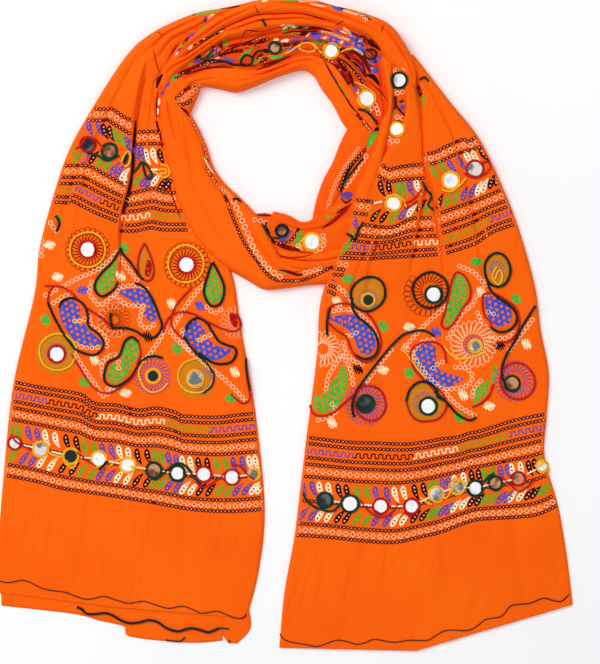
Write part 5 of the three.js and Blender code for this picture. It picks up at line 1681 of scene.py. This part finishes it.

# Behind the neck the pattern is crumpled into slivers of every colour between the rolls, with dark red
# slivers of painted shade in the creases and hollows among them.
print_slivers({
    "grass": [
        (2.4, (197, 15.6), (206, 13.4), (219, 11.4)), (3.4, (281, 1), (290, 0.9), (299, 1.6)),
        (2.4, (368, 15.4), (374, 19)), (2.2, (172, 82), (178, 75)), (2.4, (207, 57), (213, 52)),
        (2.2, (268, 57), (277, 59), (283, 56)),
    ],
    "maroon": [
        (1.1, (192, 15.8), (196, 15)), (1.3, (220, 9.4), (230, 8.6), (240, 7.2)),
        (1.6, (183, 46), (190, 38)), (1.4, (318, 3.4), (327, 5), (333, 7)),
        (1.7, (356, 13.4), (362, 17), (370, 21.6)), (2.2, (219, 50), (223, 45)),
        (1.8, (194, 69), (206, 64), (224, 63)), (2.6, (180, 74), (192, 71)),
        (1.6, (254, 47), (262, 42), (269, 39)), (2, (256, 61), (263, 55)), (2, (259, 64), (268, 59)),
        (1, (186, 76), (196, 72), (208, 69), (222, 68), (234, 69)),
        (1, (256, 71), (268, 67), (280, 62), (290, 57)),
        (1.5, (280, 29), (300, 29), (320, 30), (332, 33)), (2, (300, 36), (308, 34)),
        (0.9, (346, 33), (354, 35), (362, 40), (368, 46)), (2, (360, 37), (367, 41)),
        (1.8, (370, 40), (380, 52)), (0.8, (366, 63), (371, 67), (378, 69)),
        # The three broad maroon slivers on this line and the next are painted shade in a dark hollow of the
        # crumpled layer, not print.
        (2.4, (340, 50), (350, 52), (358, 55), (365, 63), (370, 74)),
        (2.6, (337, 60), (343, 67), (349, 77), (354, 88)), (2.4, (354, 60), (361, 66), (366, 78)),
        (0.8, (324, 61), (329, 71), (339, 88), (345, 97), (351, 107), (358, 114)),
    ],
    "purple": [
        (1.5, (206, 17), (205, 24.5)), (1.6, (188, 39), (196, 34)), (1.2, (178, 53), (182, 49)),
        (1.7, (166, 88), (170, 83)), (1.5, (162, 96), (164, 91)), (2.4, (213, 55), (220, 49)),
        (2, (194, 64), (201, 60)), (2, (223, 58), (229, 61), (236, 62)),
        (1.4, (286, 50), (294, 50), (300, 50)), (1.7, (333, 31), (340, 34)),
        (3.4, (368, 62), (375, 61), (381, 57)), (1.7, (291, 44), (296, 40), (302, 39)),
        (1.7, (303, 42), (309, 40)), (1.8, (358, 66), (363, 73)), (1.8, (353, 86), (357, 93)),
        (1, (333, 77), (336, 82)),
    ],
    "cream": [
        (1.4, (208, 21), (212, 17.4), (215, 16)), (0.8, (176, 57), (179, 53)),
        (1.5, (189, 51), (193, 47)), (0.6, (197, 45), (200, 44)), (0.6, (203, 41), (206, 40)),
        (0.6, (212, 37), (216, 36)), (0.6, (219, 34), (224, 32)), (1.1, (262, 3.4), (268, 2.4)),
        (0.7, (310, 6), (318, 7.6), (326, 8.6)), (1.2, (159, 106), (160, 99)),
        (1.4, (158, 115), (158, 109)), (1.2, (204, 65), (209, 61)), (1.2, (213, 62), (220, 58)),
        (1.8, (273, 42), (279, 40)), (1.6, (284, 43), (289, 41)), (0.8, (280, 28), (285, 26)),
        (1.2, (306, 38), (310, 34)), (1.3, (323, 40), (327, 38)), (1.3, (340, 45), (343, 42)),
        (0.8, (330, 48), (336, 47), (341, 49)), (0.8, (340, 32), (347, 35)), (1.2, (358, 43), (363, 40)),
        (1.2, (281, 43), (287, 40)), (0.8, (345, 52), (352, 50), (357, 51)), (1.4, (358, 90), (357, 95)),
    ],
    "green": [
        (1.6, (200, 31), (207, 27)), (1.3, (180, 49), (186, 43)), (3, (223, 46), (229, 42)),
        (2.2, (239, 60), (246, 55), (253, 48)), (2.2, (252, 66), (258, 61)), (1.8, (281, 33), (287, 31)),
        (1.5, (290, 30), (298, 28)), (1.5, (303, 30), (309, 29)), (1.9, (312, 43), (320, 44)),
        (2, (320, 45), (326, 44)), (1.3, (338, 85), (341, 90)), (1.2, (344, 94), (347, 98)),
    ],
    "black": [
        (1.2, (194, 47), (205, 41), (216, 36), (225, 31)), (1.6, (338, 9), (347, 9.6)),
        (0.8, (162, 133), (160, 126)), (2.6, (197, 61), (201, 56)), (2.2, (262, 51), (270, 53)),
        (0.9, (196, 63), (206, 59), (216, 54), (225, 49)),
        (0.8, (224, 52), (234, 49), (246, 44), (258, 39)),
        (0.9, (336, 58), (345, 63), (354, 72), (361, 82), (366, 90)),
        (0.9, (282, 35), (292, 33), (304, 33), (318, 33)),
        (0.8, (318, 42), (330, 45), (342, 49), (350, 50)), (2.2, (366, 40), (371, 45), (377, 49)),
        (2, (345, 57), (352, 61), (360, 68), (365, 77)), (2.4, (366, 76), (373, 78), (379, 86)),
    ],
    "olive": [
        (1.2, (274, 2.2), (279, 1.2)), (2.4, (189, 67), (192, 62)), (1.6, (159, 127), (158, 118)),
        (2, (283, 55), (291, 52)), (1.6, (252, 66), (258, 62), (262, 58)), (2.4, (290, 36), (300, 34)),
        (2.2, (350, 60), (356, 65)), (1.8, (345, 69), (348, 75)), (1.6, (358, 86), (365, 91), (368, 93)),
    ],
    "blue": [(2.8, (332, 8.6), (338, 10), (343, 12.4)), (2.2, (343, 45), (349, 46))],
    # Dark red slivers of painted shade in the creases and hollows between the rolls.
    "wine": [
        (2, (228, 48), (238, 46), (248, 46)), (1.6, (262, 68), (272, 64), (282, 61)),
        (2.2, (342, 54), (350, 57), (358, 63), (363, 70)), (1.8, (337, 65), (344, 72), (350, 81)),
        (1.4, (300, 32), (310, 32), (320, 31)), (3, (367, 55), (370, 55), (374, 55)),
    ],
    "pale": [(1.2, (368, 54), (372, 57))],
}, BACK)
print_slivers({
    # Thin dark red lines of painted shade along the creases of the rolls.
    "wine": [
        (0.7, (255, 7.6), (257, 12), (259, 16.6)), (0.6, (157, 33), (161, 35), (163, 39)),
        (0.6, (154, 50), (156, 60), (158, 68), (161, 74)), (0.7, (224, 27), (226, 31)),
        (0.6, (241, 44), (243, 37), (248, 32), (263, 33), (281, 28)), (0.6, (381, 34), (383, 27)),
        (0.6, (335, 27), (344, 22.4)), (0.6, (366, 80), (374, 87), (382, 94), (387, 102)),
    ],
    # A black patch of painted shade in the deep gap at the left end of the crumpled layer.
    "black": [(2.1, (157, 89), (159, 81), (163, 75))],
    "maroon": [(0.8, (158, 92), (157, 106), (157, 118))],
}, BACK + LEFT + FRONT)
for spine in (
    [(309, 35, 1.5), (316, 37, 3.3), (323, 39, 2.4)], [(327, 39, 1.5), (333, 41, 3.3), (340, 43, 2.2)],
    [(347, 35, 2), (354, 38, 4.1), (361, 43, 3)], [(351, 43, 2), (359, 47, 4.1), (365, 53, 3)],
    [(366, 66, 1.5), (373, 70, 3.2), (377, 74, 1.5)], [(209, 58, 1.4), (215, 54, 2.6), (220, 49, 1.6)],
):
    print_bean(spine, "blue" if spine[0][0] > 300 else "purple", BACK)
for size, *chains in (
    (0.7, [(300, 3.4), (306, 2.4), (314, 2.4)], [(358, 14.6), (362, 17.4), (366, 21)]),
    (0.55, [(344, 12.4), (350, 14.6), (356, 16.4)]),
    (0.56, [(322, 33), (331, 35), (339, 38), (348, 41)], [(344, 30), (349, 34), (351, 37)],
     [(284, 30), (289, 27), (294, 28)], [(352, 49), (358, 52), (362, 55)]),
    (1, [(369, 112), (375, 106), (378, 114)]),
):
    for chain in chains:
        print_chain(chain, BACK, size)
for row in (
    [(177, 78), (186, 72), (196, 68), (206, 65), (216, 62)], [(196, 59), (203, 62), (208, 66)],
    [(221, 56), (230, 53), (241, 52)], [(213, 47), (217, 52), (221, 55)],
    [(247, 47), (252, 44), (258, 40), (264, 38)], [(285, 46), (292, 46), (298, 44)],
    [(322, 57), (330, 62), (337, 68), (343, 76), (348, 84)], [(258, 46), (261, 43), (267, 40)],
    [(280, 50), (285, 49), (290, 48)], [(260, 59), (264, 62), (267, 66)],
    [(354, 73), (360, 80), (364, 85)], [(341, 63), (345, 70)], [(358, 116), (365, 124), (371, 132)],
):
    print_dotted(row, BACK)

# In the pocket of the right end the pattern shows beside its two mirrors.
print_chain([(387, 70), (389, 76), (391, 73), (397, 71), (402, 72)], BACK)
print_chain([(397, 94), (402, 93)], BACK)
print_chain([(397, 118), (402, 119)], BACK)
print_slivers({
    "maroon": [(1.3, (394, 98), (395, 106), (392, 114)), (1.2, (393, 124), (397, 122), (402, 123))],
    "purple": [(3, (400, 110), (405, 106))],
    "green": [(1.6, (393, 110), (392, 118))],
    "olive": [(1.8, (391, 119), (390, 128))],
    "grass": [(1.2, (394, 91), (400, 89))],
}, BACK)
print_chain([(388, 139), (390, 145), (393, 141), (397, 142)], ("right_pocket", "tail_right"))
print_dotted([(416, 82), (418, 88), (420, 95)], ("tail_right",))
print_slivers({
    "green": [(0.9, (414, 71), (416, 79)), (1.9, (421, 96), (423, 101), (422, 107))],
    "black": [(1.3, (417, 84), (420, 92), (421, 98))],
}, ("tail_right",))

# The band next to the neck has a corner of border print on the left, where it folds over.
print_dotted([(177, 99), (182, 94), (187, 90), (196, 86)], BACK + FRONT)
print_dotted([(180, 105), (184, 105), (189, 103), (196, 97), (200, 90)], BACK + FRONT)
print_chain([(180, 101), (188, 97), (193, 93), (199, 88)], BACK + FRONT, 1.05, "pale")
print_slivers({"maroon": [(1.4, (181, 108), (186, 112), (190, 117))]}, BACK + FRONT)

# Where the left end folds over its shoulder, the cloth's edges leave deep, narrow gaps, painted as shade:
# black and dark red slivers laid on the cloth.
print_slivers({
    "black": [
        (1.4, (136, 121), (135, 136), (134, 150), (133, 166), (132, 178)),
        (1.9, (132, 174), (130, 190), (126, 204), (122, 214)), (1.2, (156, 121), (159, 131), (162, 141)),
        (1.2, (169, 179), (170, 187), (172, 196)),
    ],
    "wine": [
        (1.1, (156, 112), (158, 126), (161, 138), (163, 150)), (1, (170, 188), (175, 204), (181, 219)),
    ],
}, LEFT + FRONT)

# The left end's back layer shows as a strip along its left edge, with a leaf and two chains.
print_slivers({"grass": [(2.6, (56, 215), (59, 219), (60, 223))]}, LEFT)
print_chain([(51, 223), (54, 228), (57, 231)], LEFT)
print_chain([(42, 240), (42, 247), (42, 256)], LEFT)
print_sprigs([("cream", 50, 245)], LEFT)

# Threads round the neck: loops of dark green and black, and the ends that show between the rolls.
for colour, *threads in (
    ("dark_green",
     [(199, 59), (204, 60), (209, 56), (214, 50)], [(399, 103), (403, 101)],
     [(267, 222), (265, 229), (270, 237), (279, 238), (286, 234)]),
    ("black",
     [(262, 21), (264, 24), (266, 28)],
     [(241, 66), (242, 60), (247, 56), (253, 60), (250, 66), (243, 67)],
     [(366, 51), (373, 51), (376, 55), (372, 60), (365, 58), (364, 53)],
     [(252, 60), (257, 53), (262, 52), (268, 53)],
     [(205, 62), (216, 61), (226, 63), (236, 66), (243, 66)],
     [(358, 110), (367, 113), (375, 121), (377, 125)], [(395, 97), (396, 107), (404, 116)],
     [(419, 81), (424, 78), (428, 82)], [(233, 200), (237, 199), (241, 202)],
     [(363, 159), (353, 171), (346, 180), (341, 189)]),
    ("yellow",
     [(286, 55), (293, 51), (300, 46), (307, 44), (314, 46), (315, 51), (310, 53), (303, 52), (299, 49),
      (301, 46)],
     [(313, 46), (318, 50), (322, 55)], [(341, 53), (348, 50), (354, 50)],
     [(354, 83), (362, 86), (370, 91)], [(304, 238), (300, 244), (303, 251)]),
):
    for points in threads:
        lay_yarn(colour, points, "neck", False, 0.85)

# A thin black thread runs in waves above each hem, and a thick one along the back layer's hem, where
# a few ends hang loose.
for colour, end, thick, points in (
    ("black", "left", 0.42,
     [(-4, 579), (4, 582), (12, 582), (21.6, 580), (30, 582), (40, 587), (50, 590), (65, 592),
      (76, 596), (86, 599), (95, 598), (104, 596), (117, 600), (129, 603), (143, 601), (154, 604),
      (168, 608), (182, 606), (192, 609), (202, 613), (217, 611), (228, 615), (237, 618),
      (244, 617), (246, 614)]),
    ("black", "left", 1,
     [(77, 607), (82, 609), (86, 613), (93, 614), (106, 613), (114, 616), (123, 621), (131, 623),
      (140, 622), (149, 620), (158, 622), (165, 627), (172, 630), (179, 631), (186, 629),
      (192, 628), (201, 630), (209, 632), (219, 628)]),
    ("black", "left", 0.55, [(218, 628), (223, 628), (229, 629)]),
    ("black", "left", 0.6, [(166, 640), (174, 641), (181, 641), (185, 637)]),
    ("black", "left", 0.55, [(229, 640), (230, 643)]),
    ("black", "right", 0.42,
     [(280, 634), (284, 639), (292, 642), (304, 644), (317, 646), (327, 643), (337, 640), (346, 641),
      (357, 644), (366, 642), (375, 639), (393, 642), (409, 640), (427, 640), (436, 635),
      (447, 630), (468, 630), (478, 625), (486, 619), (501, 616), (510, 606), (520, 604), (530, 603),
      (543, 598), (552, 600), (561, 601), (569, 594)]),
):
    lay_yarn(colour, points, end, False, thick)

# Each colour of the print on each end is one film of pigment, thin enough for the weave to show. The dark red
# film is no print but painted shade in creases and gaps.
PIGMENTS = {
    "maroon": ((92, 14, 12), (124, 26, 14)),
    "pale": ((240, 164, 116), (250, 194, 150)),
    "cream": ((255, 236, 196), (255, 220, 164)),
    "grass": ((74, 172, 58), (112, 184, 66)),
    "purple": ((98, 66, 150), (128, 92, 168)),
    "green": ((104, 158, 42), (136, 160, 44)),
    "olive": ((198, 128, 30), (224, 122, 26)),
    "wine": ((176, 30, 4), (150, 20, 4)),
    # Black is also used as painted shade in the deepest gaps.
    "black": ((46, 8, 14), (74, 16, 18)),
    "blue": ((62, 78, 190), (88, 96, 188)),
    "dye": ((255, 110, 20), (250, 96, 14)),
    "red": ((168, 14, 18), (196, 40, 30)),
}


def pigment(name, full, thin):
    """Printed colour, and the painted shade laid the same way: matt, uneven where it was stamped, with the
    threads showing through as bumps.
    """
    material, tree, shader = new_material(name)
    place = tree.nodes.new("ShaderNodeTexCoord").outputs["Object"]
    patches = add_noise(tree, place, 260)
    tree.links.new(add_ramp(tree, patches, (0.4, full), (0.68, thin)), shader.inputs["Base Color"])
    add_bump(tree, shader, add_weave(tree, place)["Height"], 0.3, 0.12 * MM)
    set_sockets(shader, {"Roughness": 0.88, "Specular IOR Level": 0.1})
    return material


printed_on = {"left": [], "right": [], "neck": []}
pigments = {
    colour: pigment(colour + "_print", shade(*full), shade(*thin))
    for colour, (full, thin) in PIGMENTS.items()
}
for (end, colour), bm in sorted(prints.items()):
    piece = new_piece(f"print_{colour}_{end}", bm)
    finish_piece(piece, pigments[colour])
    printed_on[end].append(piece)


def spun_cotton(name, deep, bright):
    """Soft spun yarn: its fibres lighten its high parts, a painted highlight that follows the bump, and it is
    slightly uneven in colour.
    """
    material, tree, shader = new_material(name)
    place = tree.nodes.new("ShaderNodeTexCoord").outputs["Object"]
    fibres = add_noise(tree, place, 1400, 3)
    uneven = weigh(tree, fibres, 0.5, add_noise(tree, place, 90, 1))
    tree.links.new(add_ramp(tree, uneven, (0.38, deep), (0.62, bright)), shader.inputs["Base Color"])
    add_bump(tree, shader, fibres, 0.5, 0.2 * MM)
    set_sockets(shader, {"Roughness": 0.7, "Specular IOR Level": 0.2, "Sheen Weight": 0.1})
    return material


spun = {
    colour: spun_cotton(colour + "_yarn", shade(*deep), shade(*bright))
    for colour, (deep, bright) in YARNS.items()
}
sewn_on = {"left": [], "right": [], "neck": []}
bpy.context.scene.collection.objects.link(profile)
for (end, colour), curve in sorted(yarn_curves.items()):
    curve.dimensions = "3D"
    curve.bevel_mode = "OBJECT"
    curve.bevel_object = profile
    curve.use_fill_caps = True
    laid = bpy.data.objects.new("laid_yarn", curve)
    bpy.context.scene.collection.objects.link(laid)
    bpy.context.view_layer.update()
    shown = laid.evaluated_get(bpy.context.evaluated_depsgraph_get())
    mesh = bpy.data.meshes.new_from_object(shown)
    bpy.data.objects.remove(laid)
    bm = bmesh.new()
    bm.from_mesh(mesh)
    bmesh.ops.remove_doubles(bm, verts=bm.verts, dist=1e-6)
    bmesh.ops.recalc_face_normals(bm, faces=bm.faces)
    for face in bm.faces:
        face.smooth = True
    piece = new_piece(f"embroidery_{colour}_{end}", bm)
    finish_piece(piece, spun[colour])
    sewn_on[end].append(piece)
bpy.data.objects.remove(profile)

# Every stretch is declared as a sheet of cloth, with the size it would have laid out flat.
carriers = {"tail_left": "left", "tail_right": "right", "back_middle": "neck"}
for node, (flat, held, rests_on) in sheets.items():
    end = carriers.get(node)
